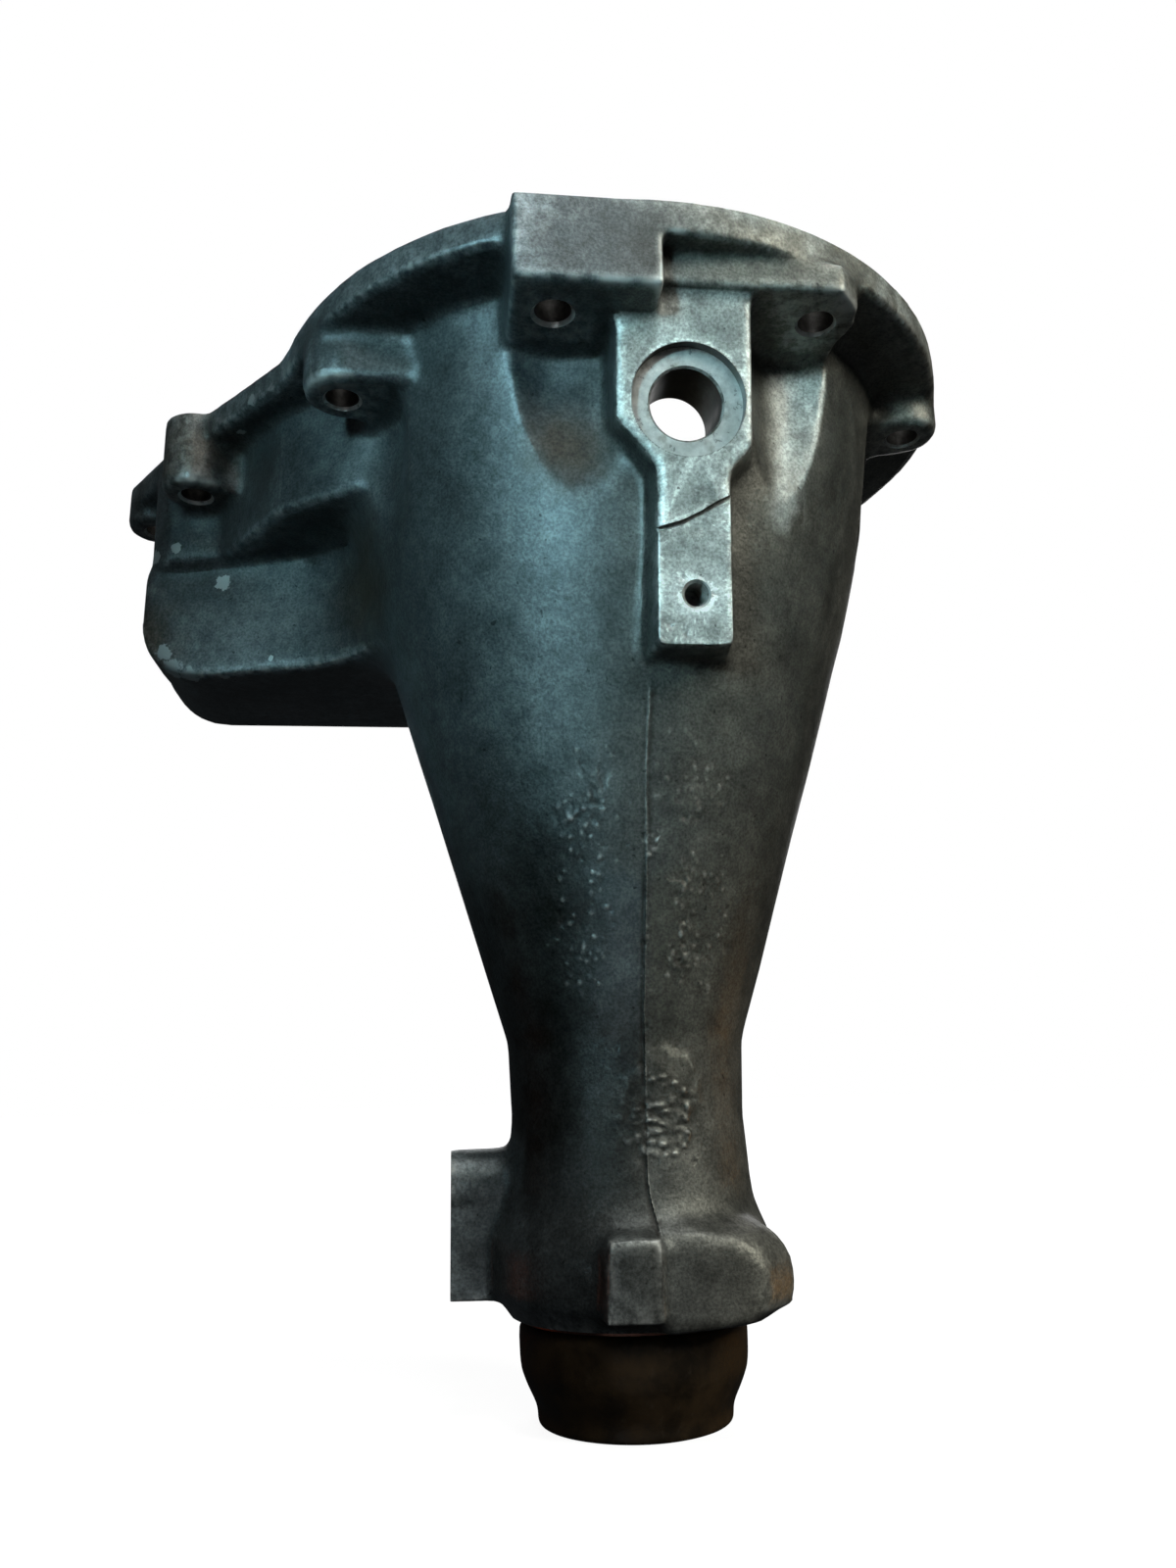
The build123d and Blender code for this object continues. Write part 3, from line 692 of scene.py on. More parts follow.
# machining
cuts = [
    box("face_cut", (-260, -200, 0), (200, 200, 12)),
    box("end_cut", (-90, -90, TAIL_END_Z - 12), (90, 90, TAIL_END_Z)),
    box("mount_cut", (MOUNT_END_X - 12, -30, -325), (MOUNT_END_X, 30, -250)),
]
combine(work, cuts, "DIFFERENCE")
register = [(0, 4), (REGISTER_R, 4), (REGISTER_R, -REGISTER_DEPTH), (0, -REGISTER_DEPTH)]
bores = [(0, TAIL_BORES[0][1])]
for (r, top), low in zip(TAIL_BORES, [*[z for _, z in TAIL_BORES[1:]], TAIL_END_Z - 4]):
    bores += [(r, top), (r, low)]
bores.append((0, TAIL_END_Z - 4))
cuts = [lathe("register_cut", register, segments=192), lathe("tail_cut", bores)]
for i, (bx, by, level) in enumerate(BOLTS):
    cuts.append(cylinder(f"bolt_cut_{i}", (bx, by, 3), (bx, by, level - 3), BOLT_R, segments=48))
    wide_end = (bx, by, level - CHAMFER)
    small_end = (bx, by, level + CHAMFER)
    wide_r = BOLT_R + 2 * CHAMFER
    cuts.append(cylinder(f"bolt_chamfer_{i}", wide_end, small_end, wide_r, BOLT_R, segments=48))
cuts.append(sensor_drill("seat_cut", SENSOR_AT, -6, SENSOR_SEAT_DEPTH, SENSOR_SEAT_R, segments=96))
cuts.append(sensor_drill("bore_cut", SENSOR_AT, -6, SENSOR_BORE_LENGTH + 6, SENSOR_BORE_R, segments=96))
cuts.append(sensor_drill("bore_chamfer", SENSOR_AT, 3.4, 4.7, SENSOR_BORE_R + 1.3, SENSOR_BORE_R))
cuts.append(sensor_prism("step_cut", [*STEP_LINE, (30, -112), (-6, -112)], -5.0, PAD_STEP))
groove = [*STEP_LINE, *[(u, v - STEP_GROOVE_WIDTH) for u, v in reversed(STEP_LINE)]]
cuts.append(sensor_prism("step_groove", groove, -5.0, PAD_STEP + STEP_GROOVE_DEPTH))
combine(work, cuts, "DIFFERENCE")
pad_start, pad_end = on_sensor(*PAD_HOLE_AT, -2), on_sensor(*PAD_HOLE_AT, PAD_HOLE_DEPTH)
mount_start, mount_end = (MOUNT_END_X - 3, 0, MOUNT_Z), (MOUNT_END_X + MOUNT_HOLE_DEPTH, 0, MOUNT_Z)
pad_top, pad_low, pad_r = PAD_STEP - 1.0, PAD_STEP + 1.0, PAD_HOLE_R + 2.0
cuts = [
    thread("pad_tap", pad_start, pad_end, PAD_HOLE_R, M8_R, M8_PITCH),
    sensor_drill("pad_chamfer", PAD_HOLE_AT, pad_top, pad_low, pad_r, PAD_HOLE_R, segments=32),
    thread("mount_tap", mount_start, mount_end, MOUNT_HOLE_R, M12_R, M12_PITCH),
]
combine(work, cuts, "DIFFERENCE")

# pits in the face of the sensor boss and its pad
def on_pad_face(co):
    depth = (S_O - co) @ S_Z
    flat = (abs(depth) < 0.02) | (abs(depth - PAD_STEP) < 0.02)
    return flat & (co[:, 0] > -12.2) & (co[:, 0] < 29.4) & (co[:, 2] < -15) & (co[:, 1] < -80)


refine(work, on_pad_face, 1.1, 4)
co = coords(work.data)
pairs = edge_pairs(work.data)
quads = corner_table(work.data)
normal = vertex_normals(co, quads)
face = on_pad_face(co)
rim = np.zeros(len(co), bool)
off = ~face
rim[pairs[off[pairs[:, 0]], 1]] = True
rim[pairs[off[pairs[:, 1]], 0]] = True
inner = face & ~rim
texture = -0.10 * smoothstep(0.1, 0.9, fractal(co[inner], 2.2, 81, 2))
texture -= 0.05 * smoothstep(0.0, 0.6, fractal(co[inner], 5.0, 83, 2))
co[inner] += S_Z[None, :] * texture[:, None]
for _ in range(60):
    at = on_sensor(rng.uniform(-11, 28), rng.uniform(-103, 5))
    size = rng.uniform(0.5, 1.1)
    near = np.flatnonzero(inner & (abs(co - at) < 2 * size + 1.3).all(axis=1))
    far = np.linalg.norm(co[near] - at - ((co[near] - at) @ S_Z)[:, None] * S_Z, axis=1) / size
    co[near] -= S_Z[None, :] * (rng.uniform(0.15, 0.45) * np.exp(-(far**2) * 1.4))[:, None]
put_coords(work.data, co)

housing = work
housing.name = "housing_casting"
housing.data.name = "housing_casting"

# what the finishes read from the mesh
co = coords(housing.data)
normal = vertex_normals(co, quads)
x, y, z = co.T
radius = np.maximum(np.hypot(x, y), 1.0)
outward = (normal[:, 0] * x + normal[:, 1] * y) / radius
curve = bend(co, pairs, normal, 4)
hollow = bend(co, pairs, normal, 12)
wear = smoothstep(0.06, 0.27, curve)
soft = smoothstep(0.015, 0.09, curve)
# dark in hollows: dirt, and painted shade where the corners lie in shade
grime_and_shade = smoothstep(0.015, 0.22, -hollow)
across = x - seam_x(z)
on_front = (y < -20) & (z < -125) & (outward > 0.2)
# painted shadow along the left side of the seam below its step
grime_and_shade = np.maximum(
    grime_and_shade,
    0.95
    * on_front
    * smoothstep(SEAM_STEP_Z, SEAM_STEP_Z - 10, z)
    * (1 - 0.8 * patch_rows(z))
    * np.exp(-(((across + 0.75) / 0.55) ** 2)),
)
# painted light: a cool tint on the left half of the front and a warm one on the right, split at the seam,
# as the two lamps fall; by x at the back
at_step = smoothstep(SEAM_STEP_Z, SEAM_STEP_Z - 12, z) * smoothstep(-262, -236, z)
tone_edge = 30.0 - 27.0 * at_step
lamp_tint = np.where(y < 0, smoothstep(-1.0, 1.0, across / tone_edge), smoothstep(-50, 50, x))
# painted shade on the lower left of the cone and the neck, the side the lamps leave dark, and left of the
# seam below the patch
edge_x = np.interp(z, (TAIL_END_Z, -276.0, -262.0, -150.0), (-24.0, -22.0, -4.0, -6.0))
painted_left_shade = smoothstep(edge_x, edge_x - 22, x) * smoothstep(-140, -200, z) * (y < 30)
painted_left_shade *= (z > -262) | (np.hypot(x + 36, y) > 8 + 0.4 * (x < -36)) & (x > -36)
below_patch = smoothstep(1.5, -3.0, across) * smoothstep(-205, -240, z) * (y < 10) * (x > -36)
painted_left_shade = np.maximum(painted_left_shade, 0.6 * below_patch)
# painted shade on the underside of the collar by the tail end
grime_and_shade = np.maximum(grime_and_shade, smoothstep(-312.5, -315.5, z) * (radius > 43) * 0.9)
depth = (S_O - co) @ S_Z
line_v = np.interp(x, [u for u, v in STEP_LINE], [v for u, v in STEP_LINE])
below = line_v - (co - S_O) @ S_Y
# painted shadow under the edge of the step on the sensor pad
on_step = (abs(depth - PAD_STEP) < 0.9) & (below > -0.2)
grime_and_shade = np.maximum(grime_and_shade, on_step * 0.95 * np.exp(-((below / 1.3) ** 2)))
face_on = (normal @ S_Z) > 0.5
clean_and_highlight = smoothstep(3.5, 2.0, depth) * (depth > -1.5) * face_on
clean_and_highlight *= (x > -13) * (x < 30) * smoothstep(-16, -19, z) * (y < -80)
# the front-facing side of the third bolt's scallop is pale: partly clean metal, partly a painted highlight
bolt_c = BOLTS[2]
from_c = np.hypot(x - bolt_c[0], y - bolt_c[1])
facet = smoothstep(SCALLOP_R + 1.8, SCALLOP_R + 0.8, from_c) * smoothstep(-22, -27, z)
facet *= smoothstep(-82, -74, z) * (normal[:, 1] < -0.35) * smoothstep(38, 46, x)
streaks = smoothstep(0.0, 0.5, fractal(co * np.array([1.0, 1.0, 0.35]), 4.0, 95, 2))
on_rim = (radius > 117) * smoothstep(-11, -5, z) * (z < 0.5)
on_rim = on_rim * smoothstep(8, 22, x) * smoothstep(-55, -80, y)
clean_and_highlight = np.maximum(clean_and_highlight, np.maximum(facet, 0.45 * on_rim * streaks))
inside = ((outward < -0.1) & (radius < 92) & (z < -5)).astype(float)
marks = {
    "wear": wear,
    "grime_and_shade": grime_and_shade,
    "lamp_tint": lamp_tint,
    "clean_and_highlight": clean_and_highlight,
    "inside": inside,
    "painted_left_shade": painted_left_shade,
    "soft": soft,
}
for name, values in marks.items():
    attribute = housing.data.attributes.new(name, "FLOAT", "POINT")
    attribute.data.foreach_set("value", values.astype(np.float32))

# which faces are machined
n_faces = len(housing.data.polygons)
middle = np.empty(n_faces * 3)
housing.data.polygons.foreach_get("center", middle)
middle = middle.reshape(-1, 3) / MM
mx, my, mz = middle.T
mr = np.hypot(mx, my)
by_mount = mz < -250
machined = (mz > -0.01) | (mz < TAIL_END_Z + 0.01) | (mx < MOUNT_END_X + 0.01) & by_mount
machined |= (mz > -REGISTER_DEPTH - 0.05) & (mr < REGISTER_R + 0.02)
machined |= (mz < TAIL_BORES[0][1]) & (mr < TAIL_BORES[-1][0] + 0.1)
for bx, by, level in BOLTS:
    machined |= (np.hypot(mx - bx, my - by) < BOLT_R + CHAMFER + 0.2) & (mz > level - 2.5)


def from_axis(at):
    """How far each face lies from a sensor-side hole's axis, and its depth below the face."""
    way = middle - on_sensor(*at)
    depth = -way @ S_Z
    return np.linalg.norm(way + depth[:, None] * S_Z, axis=1), depth


seat_r, seat_depth = from_axis(SENSOR_AT)
machined |= (seat_r < SENSOR_SEAT_R + 0.05) & (seat_depth < SENSOR_SEAT_DEPTH + 0.1) & (seat_depth > 0.02)
machined |= (seat_r < SENSOR_BORE_R + 0.05) & (seat_depth < 32) & (seat_depth > 0.02)
hole_r, hole_depth = from_axis(PAD_HOLE_AT)
machined |= (hole_r < M8_R + 0.9) & (hole_depth < 16) & (hole_depth > PAD_STEP + 0.02)
machined |= (np.hypot(my, mz - MOUNT_Z) < M12_R + 0.1) & (mx < MOUNT_END_X + 22) & by_mount
housing.data.polygons.foreach_set("use_smooth", [True] * n_faces)
# walls of the holes, darker than the faces round them: painted shade inside the holes
shaded_holes = (seat_r > SENSOR_SEAT_R - 0.3) & (seat_r < SENSOR_SEAT_R + 0.05)
shaded_holes &= (seat_depth > 0.02) & (seat_depth < SENSOR_SEAT_DEPTH - 0.1)
shaded_holes |= (seat_r < SENSOR_BORE_R + 0.05) & (seat_depth < 32) & (seat_depth > 4.75)
for bx, by, level in BOLTS:
    wall = np.hypot(mx - bx, my - by) < BOLT_R + 0.03
    shaded_holes |= wall & (mz > level + CHAMFER) & (mz < -0.1)
shaded_holes &= machined


def sharp_edges(mesh, angle):
    mesh.set_sharp_from_angle(angle=math.radians(angle))
    out = np.zeros(len(mesh.edges), bool)
    if "sharp_edge" in mesh.attributes:
        mesh.attributes["sharp_edge"].data.foreach_get("value", out)
    return out


# crisp edges where a tool has cut, soft ones on the casting
hard = sharp_edges(housing.data, 72)
crisp = sharp_edges(housing.data, 40)
loop_edge = np.empty(len(housing.data.loops), np.int32)
housing.data.loops.foreach_get("edge_index", loop_edge)
loop_count = np.empty(n_faces, np.int32)
housing.data.polygons.foreach_get("loop_total", loop_count)
by_tool = np.zeros(len(housing.data.edges), bool)
by_tool[loop_edge[np.repeat(machined, loop_count)]] = True
housing.data.attributes["sharp_edge"].data.foreach_set("value", hard | (crisp & by_tool))

# the dust boot: the solid's outline with rounded corners, a little uneven as soft rubber is
boot_low, boot_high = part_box("dust_boot")
BOOT_R = boot_high.x / MM
BOOT_TOP = boot_high.z / MM
BOOT_END = boot_low.z / MM
BOOT_OUTLINE = [
    (BOOT_R - 9.2, BOOT_TOP),
    (BOOT_R, BOOT_TOP),
    (BOOT_R - 0.3, BOOT_TOP - 13.8),
    (BOOT_R - 2.2, BOOT_TOP - 18.8),
    (BOOT_R - 4.9, BOOT_END + 6.5),
    (BOOT_R - 5.6, BOOT_END + 4.0),
    (BOOT_R - 5.8, BOOT_END + 0.8),
    (BOOT_R - 6.6, BOOT_END),
    (YOKE_R + 2.7, BOOT_END),
    (YOKE_R + 1.4, BOOT_END + 1.6),
    (YOKE_R + 1.8, BOOT_END + 3.4),
    (BOOT_R - 8.2, BOOT_END + 6.5),
    (BOOT_R - 5.8, BOOT_TOP - 18.3),
    (BOOT_R - 3.8, BOOT_TOP - 12.3),
    (BOOT_R - 3.6, BOOT_TOP - 3.0),
    (BOOT_R - 9.2, BOOT_TOP - 3.0),
]


def rounded(points, share=0.4, steps=4):
    """A closed outline with each corner drawn as a curve."""
    out = []
    n = len(points)
    for i in range(n):
        before, here, after = (np.array(points[(i + k) % n], float) for k in (-1, 0, 1))
        a = here + (before - here) * share
        b = here + (after - here) * share
        for k in range(steps + 1):
            t = k / steps
            out.append(tuple((1 - t) ** 2 * a + 2 * t * (1 - t) * here + t * t * b))
    return out


boot = lathe("dust_boot_rubber", rounded(BOOT_OUTLINE), segments=160, closed=True)
normals_out(boot)
bco = coords(boot.data)
br = np.hypot(bco[:, 0], bco[:, 1])
free = smoothstep(BOOT_TOP - 2, BOOT_TOP - 6, bco[:, 2])
sink = free * (0.12 + 0.12 * fractal(bco, 16.0, 91, 2))
bco[:, :2] *= (1 - np.clip(sink, 0, None) / br)[:, None]
put_coords(boot.data, bco)
boot.data.polygons.foreach_set("use_smooth", [True] * len(boot.data.polygons))


class Paint:
    """A material under construction; each call adds a node and gives back what comes out of it."""

    def __init__(self, name):
        self.material = bpy.data.materials.new(name)
        self.material.use_nodes = True
        self.nodes = self.material.node_tree.nodes
        self.links = self.material.node_tree.links
        self.shader = self.nodes["Principled BSDF"]
        self.place = self.nodes.new("ShaderNodeTexCoord").outputs["Object"]

    def feed(self, socket, value):
        if isinstance(value, bpy.types.NodeSocket):
            self.links.new(value, socket)
        else:
            socket.default_value = value

    def finish(self, **values):
        for name, value in values.items():
            self.feed(self.shader.inputs[name.replace("_", " ")], value)
        return self.material

    def read(self, name):
        node = self.nodes.new("ShaderNodeAttribute")
        node.attribute_name = name
        return node.outputs["Fac"]

    def noise(self, size, detail=3.0, rough=0.55, shift=0.0):
        """Noise from 0 to 1 with features of about size millimetres."""
        moved = self.nodes.new("ShaderNodeMapping")
        self.feed(moved.inputs["Vector"], self.place)
        moved.inputs["Location"].default_value = (shift, shift, shift)
        moved.inputs["Scale"].default_value = [1000.0 / size] * 3
        node = self.nodes.new("ShaderNodeTexNoise")
        self.feed(node.inputs["Vector"], moved.outputs[0])
        node.inputs["Scale"].default_value = 1.0
        node.inputs["Detail"].default_value = detail
        node.inputs["Roughness"].default_value = rough
        return node.outputs["Fac"]

    def step(self, value, low, high, start=0.0, end=1.0):
        node = self.nodes.new("ShaderNodeMapRange")
        node.interpolation_type = "SMOOTHSTEP"
        for k, number in enumerate((value, low, high, start, end)):
            self.feed(node.inputs[k], number)
        return node.outputs[0]

    def math(self, operation, a, b=0.0):
        node = self.nodes.new("ShaderNodeMath")
        node.operation = operation
        self.feed(node.inputs[0], a)
        self.feed(node.inputs[1], b)
        return node.outputs[0]

    def mix(self, share, a, b):
        """Colour a where share is 0, colour b where it is 1."""
        node = self.nodes.new("ShaderNodeMix")
        node.data_type = "RGBA"
        self.feed(node.inputs[0], share)
        for socket, value in ((node.inputs[6], a), (node.inputs[7], b)):
            self.feed(socket, value if isinstance(value, bpy.types.NodeSocket) else (*value, 1.0))
        return node.outputs[2]

    def times(self, colour, factor):
        node = self.nodes.new("ShaderNodeVectorMath")
        node.operation = "SCALE"
        self.feed(node.inputs[0], colour)
        self.feed(node.inputs["Scale"], factor)
        return node.outputs[0]

    def spot(self, at, reach, edge=0.35, warp=0.0, size=4.0):
        """1 within reach millimetres of a point, 0 beyond it, with a ragged border."""
        node = self.nodes.new("ShaderNodeVectorMath")
        node.operation = "DISTANCE"
        self.feed(node.inputs[0], self.place)
        node.inputs[1].default_value = [c * MM for c in at]
        far = self.math("MULTIPLY", node.outputs["Value"], 1.0 / (reach * MM))
        if warp:
            ragged = self.math("MULTIPLY", self.noise(size, 4.0, 0.6, shift=at[0]), 2 * warp)
            far = self.math("ADD", self.math("SUBTRACT", far, warp), ragged)
        return self.step(far, 1.0, 1.0 - edge)

    def spots(self, rows):
        """All the spots of a list together."""
        return reduce(lambda a, b: self.math("MAXIMUM", a, b), [self.spot(*row) for row in rows])

    def bump(self, height, depth, under=None):
        """Relief of depth millimetres."""
        node = self.nodes.new("ShaderNodeBump")
        node.inputs["Distance"].default_value = depth * MM
        self.feed(node.inputs["Height"], height)
        if under is not None:
            self.feed(node.inputs["Normal"], under)
        return node.outputs[0]


# brown film on the casting, darker in the wide scallop and on a lobe boss as painted shade: middle, reach
# and size of its ragged border, in millimetres
FILM_AND_SHADE = (
    ((-24, -87, -60), 20, 9),
    ((-90, -10, -72), 34, 12),
    ((-178, 40, -78), 26, 9),
    ((-156, 10, -14), 30, 9),
)
# pale flakes on the pocket: a point on the surface and how far they reach, in millimetres
CHIPS = (
    (-146.8, 28.8, -56.5, 3.0),
    (-168.8, 34.9, -83.3, 3.2),
    (-175.0, 36.0, -43.5, 3.2),
    (-165.5, 29.9, -42.0, 2.2),
    (-164.5, 36.5, -89.5, 4.4),
    (-158.0, 35.0, -92.0, 3.4),
    (-145.1, 32.0, -93.0, 2.2),
    (-126.6, 23.2, -89.3, 1.1),
    (-101.5, 16.0, -92.0, 1.8),
    (-131.2, -19.7, -6.8, 2.0),
    (-137.2, -2.9, -9.0, 1.8),
)
# edges that are rubbed bright: a point and how far it reaches
RUBBED = (
    (-104.0, -66.0, -26.5, 9.0),
    (-94.0, -69.0, -27.0, 9.0),
    (-80.0, -69.0, -27.5, 8.0),
    (-157.0, 1.5, -27.0, 7.0),
    (-149.0, 3.5, -27.0, 6.0),
    (0.3, -122.0, -12.0, 9.0),
    (0.3, -122.0, -26.0, 10.0),
    (-14.0, -122.0, -27.5, 7.0),
    (33.0, -41.0, -300.0, 9.0),
    (30.0, -44.0, -293.0, 9.0),
    (36.0, -40.0, -311.0, 9.0),
    (20.0, -47.0, -290.5, 8.0),
    (3.0, -50.0, -293.0, 6.0),
    (60.0, -108.0, -18.0, 8.0),
)
PAD_HOLE_3D = tuple(on_sensor(*PAD_HOLE_AT, PAD_STEP))


def cast_paint():
    p = Paint("cast_aluminium")
    wear, grime_and_shade, lamp_tint = p.read("wear"), p.read("grime_and_shade"), p.read("lamp_tint")
    clean_and_highlight, inside, painted_left_shade, soft = p.read("clean_and_highlight"), p.read("inside"), p.read("painted_left_shade"), p.read("soft")
    broad = p.noise(45, 4, 0.6, shift=3.1)
    cloud = p.noise(13, 5, 0.62, shift=8.7)
    mottle = p.noise(4.2, 5, 0.65, shift=1.3)
    grain = p.noise(0.9, 3, 0.6, shift=5.9)
    # painted light: teal-grey on the left as under the cool lamp, olive on the right as under the warm
    # lamp
    left = p.mix(p.step(broad, 0.35, 0.65), (0.070, 0.084, 0.086), (0.115, 0.135, 0.138))
    right = p.mix(p.step(broad, 0.35, 0.65), (0.105, 0.106, 0.090), (0.150, 0.150, 0.128))
    colour = p.mix(lamp_tint, left, right)
    # brown film in the wide scallop and by the box, with painted shade in the scallop and on a lobe boss
    film_and_shade = p.spots([(at, reach, 0.9, 0.4, size) for at, reach, size in FILM_AND_SHADE])
    colour = p.mix(p.math("MULTIPLY", film_and_shade, 0.85), colour, (0.062, 0.049, 0.034))
    # painted shade: the block at the front below the flange made darker
    block_shade = p.spot((-15, -122, -10), 34, 0.8)
    colour = p.times(colour, p.step(block_shade, 0.0, 1.0, 1.0, 0.78))
    # clean metal of the sensor boss, brightest round its screw hole; the same pale colour paints a
    # highlight on the front side of the third bolt's scallop
    pale = p.mix(p.step(cloud, 0.3, 0.7), (0.30, 0.325, 0.30), (0.46, 0.49, 0.455))
    pale = p.mix(p.spot(PAD_HOLE_3D, 11, 0.8, 0.25, 3), pale, (0.62, 0.65, 0.62))
    clean_and_highlight = p.math("MULTIPLY", clean_and_highlight, p.step(mottle, 0.16, 0.42, 0.55, 1.0))
    colour = p.mix(clean_and_highlight, colour, pale)
    # painted shade on the lower left of the cone, the side the lamps leave dark
    painted_left_shade = p.math("MULTIPLY", painted_left_shade, p.step(cloud, 0.2, 0.6, 0.95, 0.75))
    colour = p.mix(painted_left_shade, colour, (0.016, 0.015, 0.012))
    oily = p.mix(cloud, (0.030, 0.022, 0.012), (0.075, 0.060, 0.038))
    colour = p.mix(p.math("MULTIPLY", inside, 0.8), colour, oily)
    colour = p.times(colour, p.step(cloud, 0.25, 0.75, 0.72, 1.25))
    colour = p.times(colour, p.step(mottle, 0.25, 0.75, 0.80, 1.22))
    colour = p.times(colour, p.step(grain, 0.3, 0.7, 0.70, 1.34))
    # dark specks
    specks = p.math("MULTIPLY", p.step(p.noise(2.6, 2, 0.5, shift=21.0), 0.70, 0.76), 0.7)
    colour = p.mix(specks, colour, (0.010, 0.010, 0.010))
    lighter = p.math("MULTIPLY", soft, p.step(mottle, 0.3, 0.6, 0.4, 1.0))
    colour = p.times(colour, p.step(lighter, 0.0, 1.0, 1.0, 1.7))
    # dark in hollows, as dirt and painted shade, with painted shadows along the seam, under the pad's step
    # and under the collar
    dirt_and_shade = p.math("MULTIPLY", grime_and_shade, p.step(cloud, 0.2, 0.7, 0.95, 0.55))
    colour = p.mix(dirt_and_shade, colour, (0.016, 0.013, 0.009))
    # bright metal on rubbed edges
    rubbed = p.math("MULTIPLY", wear, p.spots([(at, reach, 0.6) for *at, reach in RUBBED]))
    rubbed = p.math("MULTIPLY", rubbed, p.step(mottle, 0.3, 0.5, 0.6, 1.0))
    worn = p.math("MULTIPLY", wear, p.step(mottle, 0.42, 0.64, 0.04, 0.5))
    worn = p.math("MAXIMUM", worn, rubbed)
    colour = p.mix(worn, colour, (0.66, 0.68, 0.64))
    flakes = p.spots([(at, reach, 0.1, 1.1, 2.2) for *at, reach in CHIPS])
    colour = p.mix(flakes, colour, (0.36, 0.41, 0.41))
    rough = p.step(cloud, 0.3, 0.7, 0.42, 0.52)
    rough = p.math("ADD", rough, p.math("MULTIPLY", dirt_and_shade, 0.2))
    rough = p.math("SUBTRACT", rough, p.math("MULTIPLY", worn, 0.14))
    bare = p.math("MAXIMUM", worn, clean_and_highlight)
    metal = p.step(bare, 0.0, 1.0, 0.6, 0.3)
    relief = p.bump(p.noise(3.0, 4, 0.6, shift=2.2), 0.22)
    relief = p.bump(grain, 0.07, relief)
    # duller where the lower left carries painted shade
    shine = p.step(painted_left_shade, 0.0, 1.0, 0.5, 0.12)
    return p.finish(
        Base_Color=colour,
        Roughness=rough,
        Metallic=metal,
        Specular_IOR_Level=shine,
        Normal=relief,
    )


def machined_paint():
    p = Paint("machined_aluminium")
    grime_and_shade = p.read("grime_and_shade")
    cloud = p.noise(11, 5, 0.62, shift=4.4)
    mottle = p.noise(2.4, 4, 0.6, shift=6.1)
    colour = p.mix(p.step(cloud, 0.3, 0.7), (0.50, 0.52, 0.49), (0.74, 0.76, 0.72))
    colour = p.times(colour, p.step(mottle, 0.3, 0.7, 0.82, 1.12))
    stain = p.math("MULTIPLY", p.step(p.noise(7, 4, 0.6, shift=9.2), 0.52, 0.7), 0.55)
    colour = p.mix(stain, colour, (0.16, 0.14, 0.10))
    # darker with the hollows' dirt and painted shade
    colour = p.mix(p.math("MULTIPLY", grime_and_shade, 0.75), colour, (0.07, 0.065, 0.055))
    relief = p.bump(p.noise(0.5, 2, 0.5, shift=3.3), 0.02)
    rough = p.step(mottle, 0.3, 0.7, 0.26, 0.42)
    return p.finish(Base_Color=colour, Roughness=rough, Metallic=0.35, Normal=relief)


def rubber_paint(name, dust):
    p = Paint(name)
    cloud = p.noise(12, 5, 0.6, shift=2.7)
    colour = p.mix(p.step(cloud, 0.3, 0.7), (0.012, 0.008, 0.004), (0.046, 0.028, 0.012))
    dusty = p.step(p.noise(3.0, 4, 0.6, shift=7.7), 0.55, 0.8, 0.0, dust)
    colour = p.mix(dusty, colour, (0.07, 0.055, 0.04))
    relief = p.bump(p.noise(0.7, 3, 0.6), 0.05)
    rough = p.step(cloud, 0.3, 0.7, 0.50, 0.68)
    return p.finish(Base_Color=colour, Roughness=rough, Specular_IOR_Level=0.22, Normal=relief)


def metal_paint(name, dark, light, rough, metallic):
    p = Paint(name)
    cloud = p.noise(5, 5, 0.62, shift=1.9)
    colour = p.mix(p.step(cloud, 0.3, 0.7), dark, light)
    colour = p.times(colour, p.step(p.noise(1.0, 3, 0.6), 0.3, 0.7, 0.85, 1.15))
    relief = p.bump(p.noise(0.8, 3, 0.6), 0.03)
    return p.finish(
        Base_Color=colour,
        Roughness=p.step(cloud, 0.3, 0.7, rough - 0.08, rough + 0.08),
        Metallic=metallic,
        Normal=relief,
    )


# a darker finish for the walls of the holes, as painted shade inside them
hole_shade_paint = metal_paint("shaded_hole_walls", (0.030, 0.028, 0.024), (0.100, 0.096, 0.086), 0.42, 0.5)
housing.data.materials.clear()
for finish in (cast_paint(), machined_paint(), hole_shade_paint):
    housing.data.materials.append(finish)
# set after the materials, because clearing them sets it back
housing.data.polygons.foreach_set("material_index", machined.astype(np.int32) + shaded_holes)
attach(housing, "root")
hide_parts("tail_housing")
boot.data.materials.append(rubber_paint("boot_rubber", 0.35))
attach(boot, "root")
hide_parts("dust_boot")
finishes = {
    "yoke_bush": metal_paint("bush_bronze", (0.30, 0.21, 0.11), (0.50, 0.36, 0.18), 0.34, 0.85),
    "seal_case": metal_paint("seal_steel", (0.07, 0.028, 0.02), (0.17, 0.075, 0.05), 0.42, 0.55),
    "seal_lip": rubber_paint("seal_rubber", 0.1),
    "lip_spring": metal_paint("spring_steel", (0.20, 0.20, 0.20), (0.34, 0.34, 0.33), 0.36, 0.9),
}
for node, finish in finishes.items():
    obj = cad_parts[node]
    obj.data.materials.clear()
    obj.data.materials.append(finish)

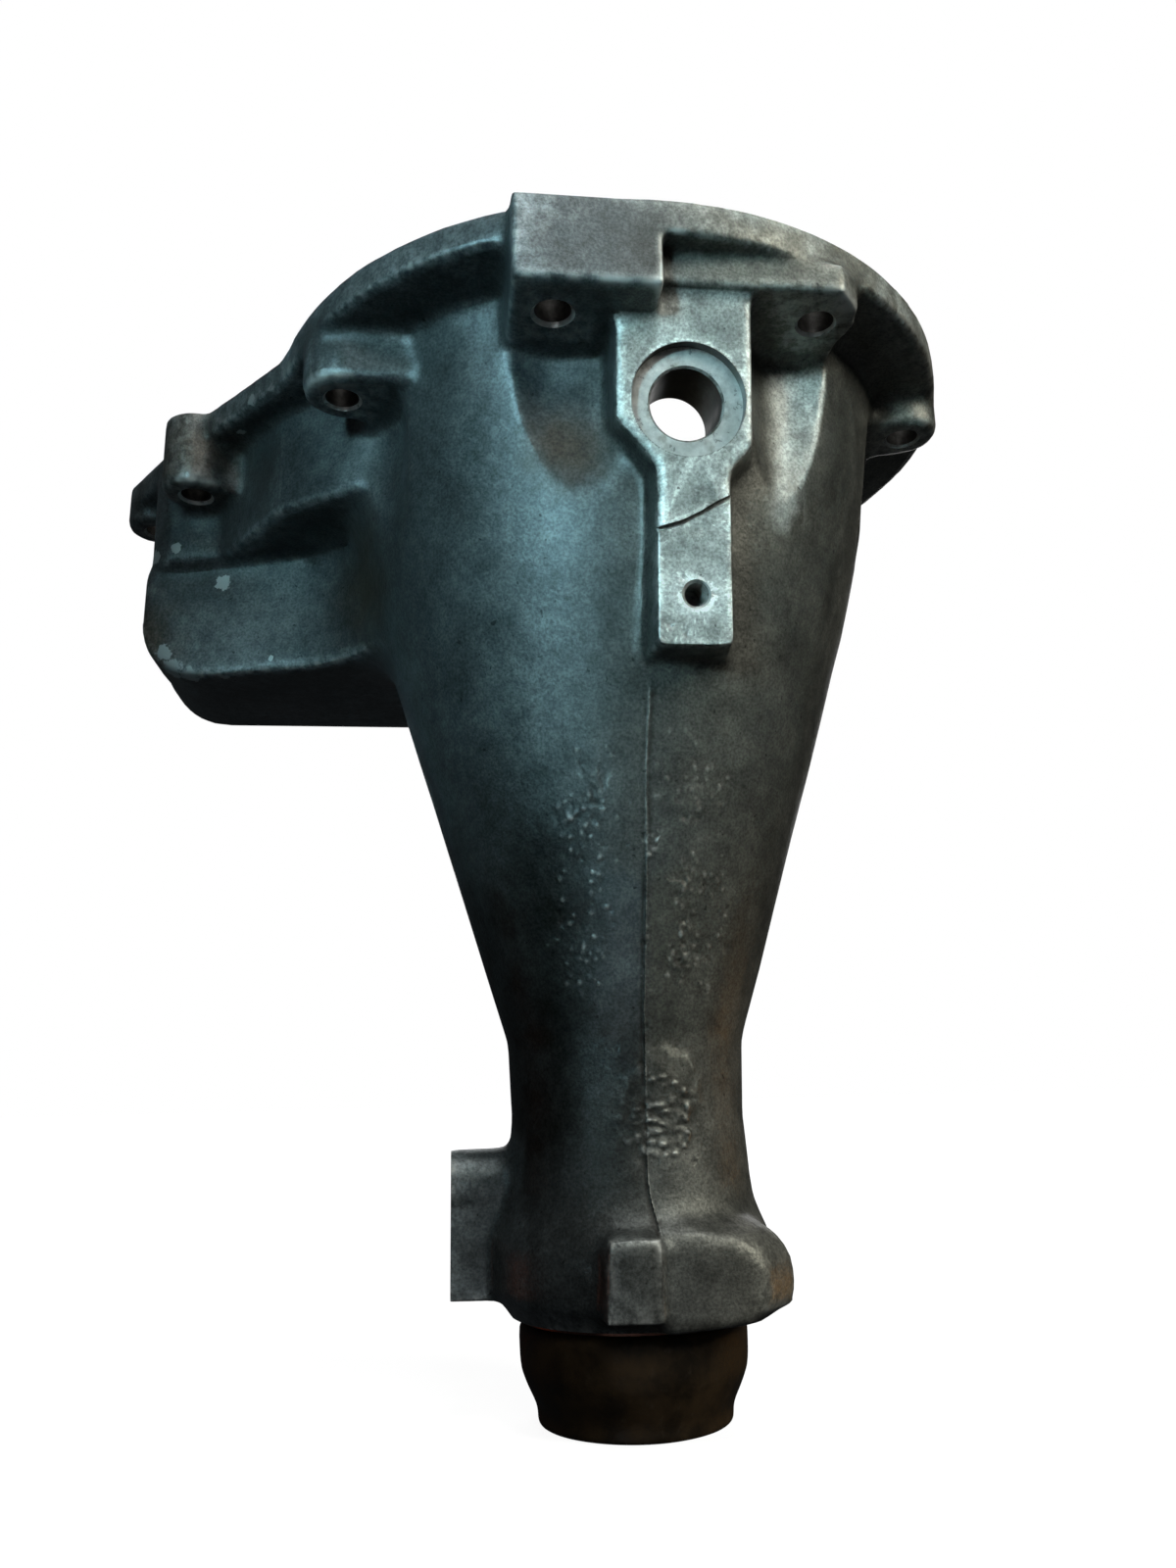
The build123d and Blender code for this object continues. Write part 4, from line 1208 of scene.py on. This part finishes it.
# camera, floor and light
CAMERA_AT = Vector((-0.0601, -0.4069, -0.2472))
RIGHT = Vector((0.99304, -0.11544, -0.02334))
UP = Vector((-0.00592, -0.24685, 0.96904))
FORWARD = Vector((0.11763, 0.96216, 0.24581))
camera_data = bpy.data.cameras.new("camera")
camera_data.lens = 27.09
camera_data.sensor_width = 36.0
camera_data.clip_start = 0.01
camera_data.clip_end = 50.0
camera = bpy.data.objects.new("camera", camera_data)
bpy.context.scene.collection.objects.link(camera)
turn = Matrix((RIGHT, UP, -FORWARD)).transposed()
camera.matrix_world = Matrix.Translation(CAMERA_AT) @ turn.to_4x4()
bpy.context.scene.camera = camera

FLOOR = 6000
floor_z = cad_low.z / MM
floor_corners = [(FLOOR * a, FLOOR * b, floor_z) for a, b in ((-1, -1), (1, -1), (1, 1), (-1, 1))]
floor = new_object("floor", floor_corners, [(0, 1, 2, 3)])
p = Paint("floor_paint")
centre = p.nodes.new("ShaderNodeVectorMath")
centre.operation = "LENGTH"
p.feed(centre.inputs[0], p.place)
glow = p.step(centre.outputs["Value"], 0.36, 1.1, 0.92, 1.05)
floor.data.materials.append(
    p.finish(
        Base_Color=(0.25, 0.25, 0.25, 1),
        Roughness=0.9,
        Emission_Color=(1, 1, 1, 1),
        Emission_Strength=glow,
    )
)
floor.visible_diffuse = False
floor.visible_glossy = False


def area_light(name, at, aim, size, power, colour, spread=180.0):
    data = bpy.data.lights.new(name, "AREA")
    data.shape = "RECTANGLE"
    data.size, data.size_y = size
    data.energy = power
    data.color = colour
    data.spread = math.radians(spread)
    obj = bpy.data.objects.new(name, data)
    bpy.context.scene.collection.objects.link(obj)
    obj.location = at
    direction = Vector(aim) - Vector(at)
    obj.rotation_mode = "QUATERNION"
    obj.rotation_quaternion = direction.to_track_quat("-Z", "Y")
    obj.visible_camera = False


area_light("side", (1.15, -0.95, 0.55), (0, 0, -0.18), (0.5, 0.5), 10, (1.0, 0.98, 0.88))
area_light("front", (0.10, -1.50, 0.75), (0, 0, -0.10), (0.5, 0.5), 4.4, (0.96, 1.0, 0.97))
area_light("cool", (-0.60, -1.05, 0.02), (0.0, -0.09, -0.025), (0.30, 0.30), 0.22, (0.50, 0.87, 1.0), 15)
area_light("top", (0.1, -0.6, 1.3), (0, 0, -0.1), (0.5, 0.5), 12, (1, 1, 1))
area_light("low", (-0.35, -0.9, -0.85), (-0.02, -0.05, -0.05), (0.5, 0.5), 1.1, (0.97, 0.98, 1.0))
area_light("back", (0.3, 1.6, 0.5), (0, 0, -0.15), (1.4, 1.0), 9, (1, 1, 1))
area_light("ember_right", (0.60, 0.10, -0.46), (0.0, 0, -0.36), (0.25, 0.25), 0.016, (1.0, 0.50, 0.14), 20)
area_light("ember_left", (-0.70, 0.15, -0.46), (0.0, 0, -0.36), (0.25, 0.25), 0.007, (1.0, 0.22, 0.06), 30)

world = bpy.data.worlds.new("world")
bpy.context.scene.world = world
world.use_nodes = True
wn, wl = world.node_tree.nodes, world.node_tree.links
wn.clear()
out = wn.new("ShaderNodeOutputWorld")
seen = wn.new("ShaderNodeBackground")
seen.inputs[0].default_value = (1, 1, 1, 1)
seen.inputs[1].default_value = 1.0
lit = wn.new("ShaderNodeBackground")
lit.inputs[0].default_value = (0.85, 0.92, 1.0, 1)
lit.inputs[1].default_value = 0.03
path = wn.new("ShaderNodeLightPath")
mix = wn.new("ShaderNodeMixShader")
wl.new(path.outputs["Is Camera Ray"], mix.inputs[0])
wl.new(lit.outputs[0], mix.inputs[1])
wl.new(seen.outputs[0], mix.inputs[2])
wl.new(mix.outputs[0], out.inputs[0])
bpy.context.scene.view_settings.view_transform = "Standard"
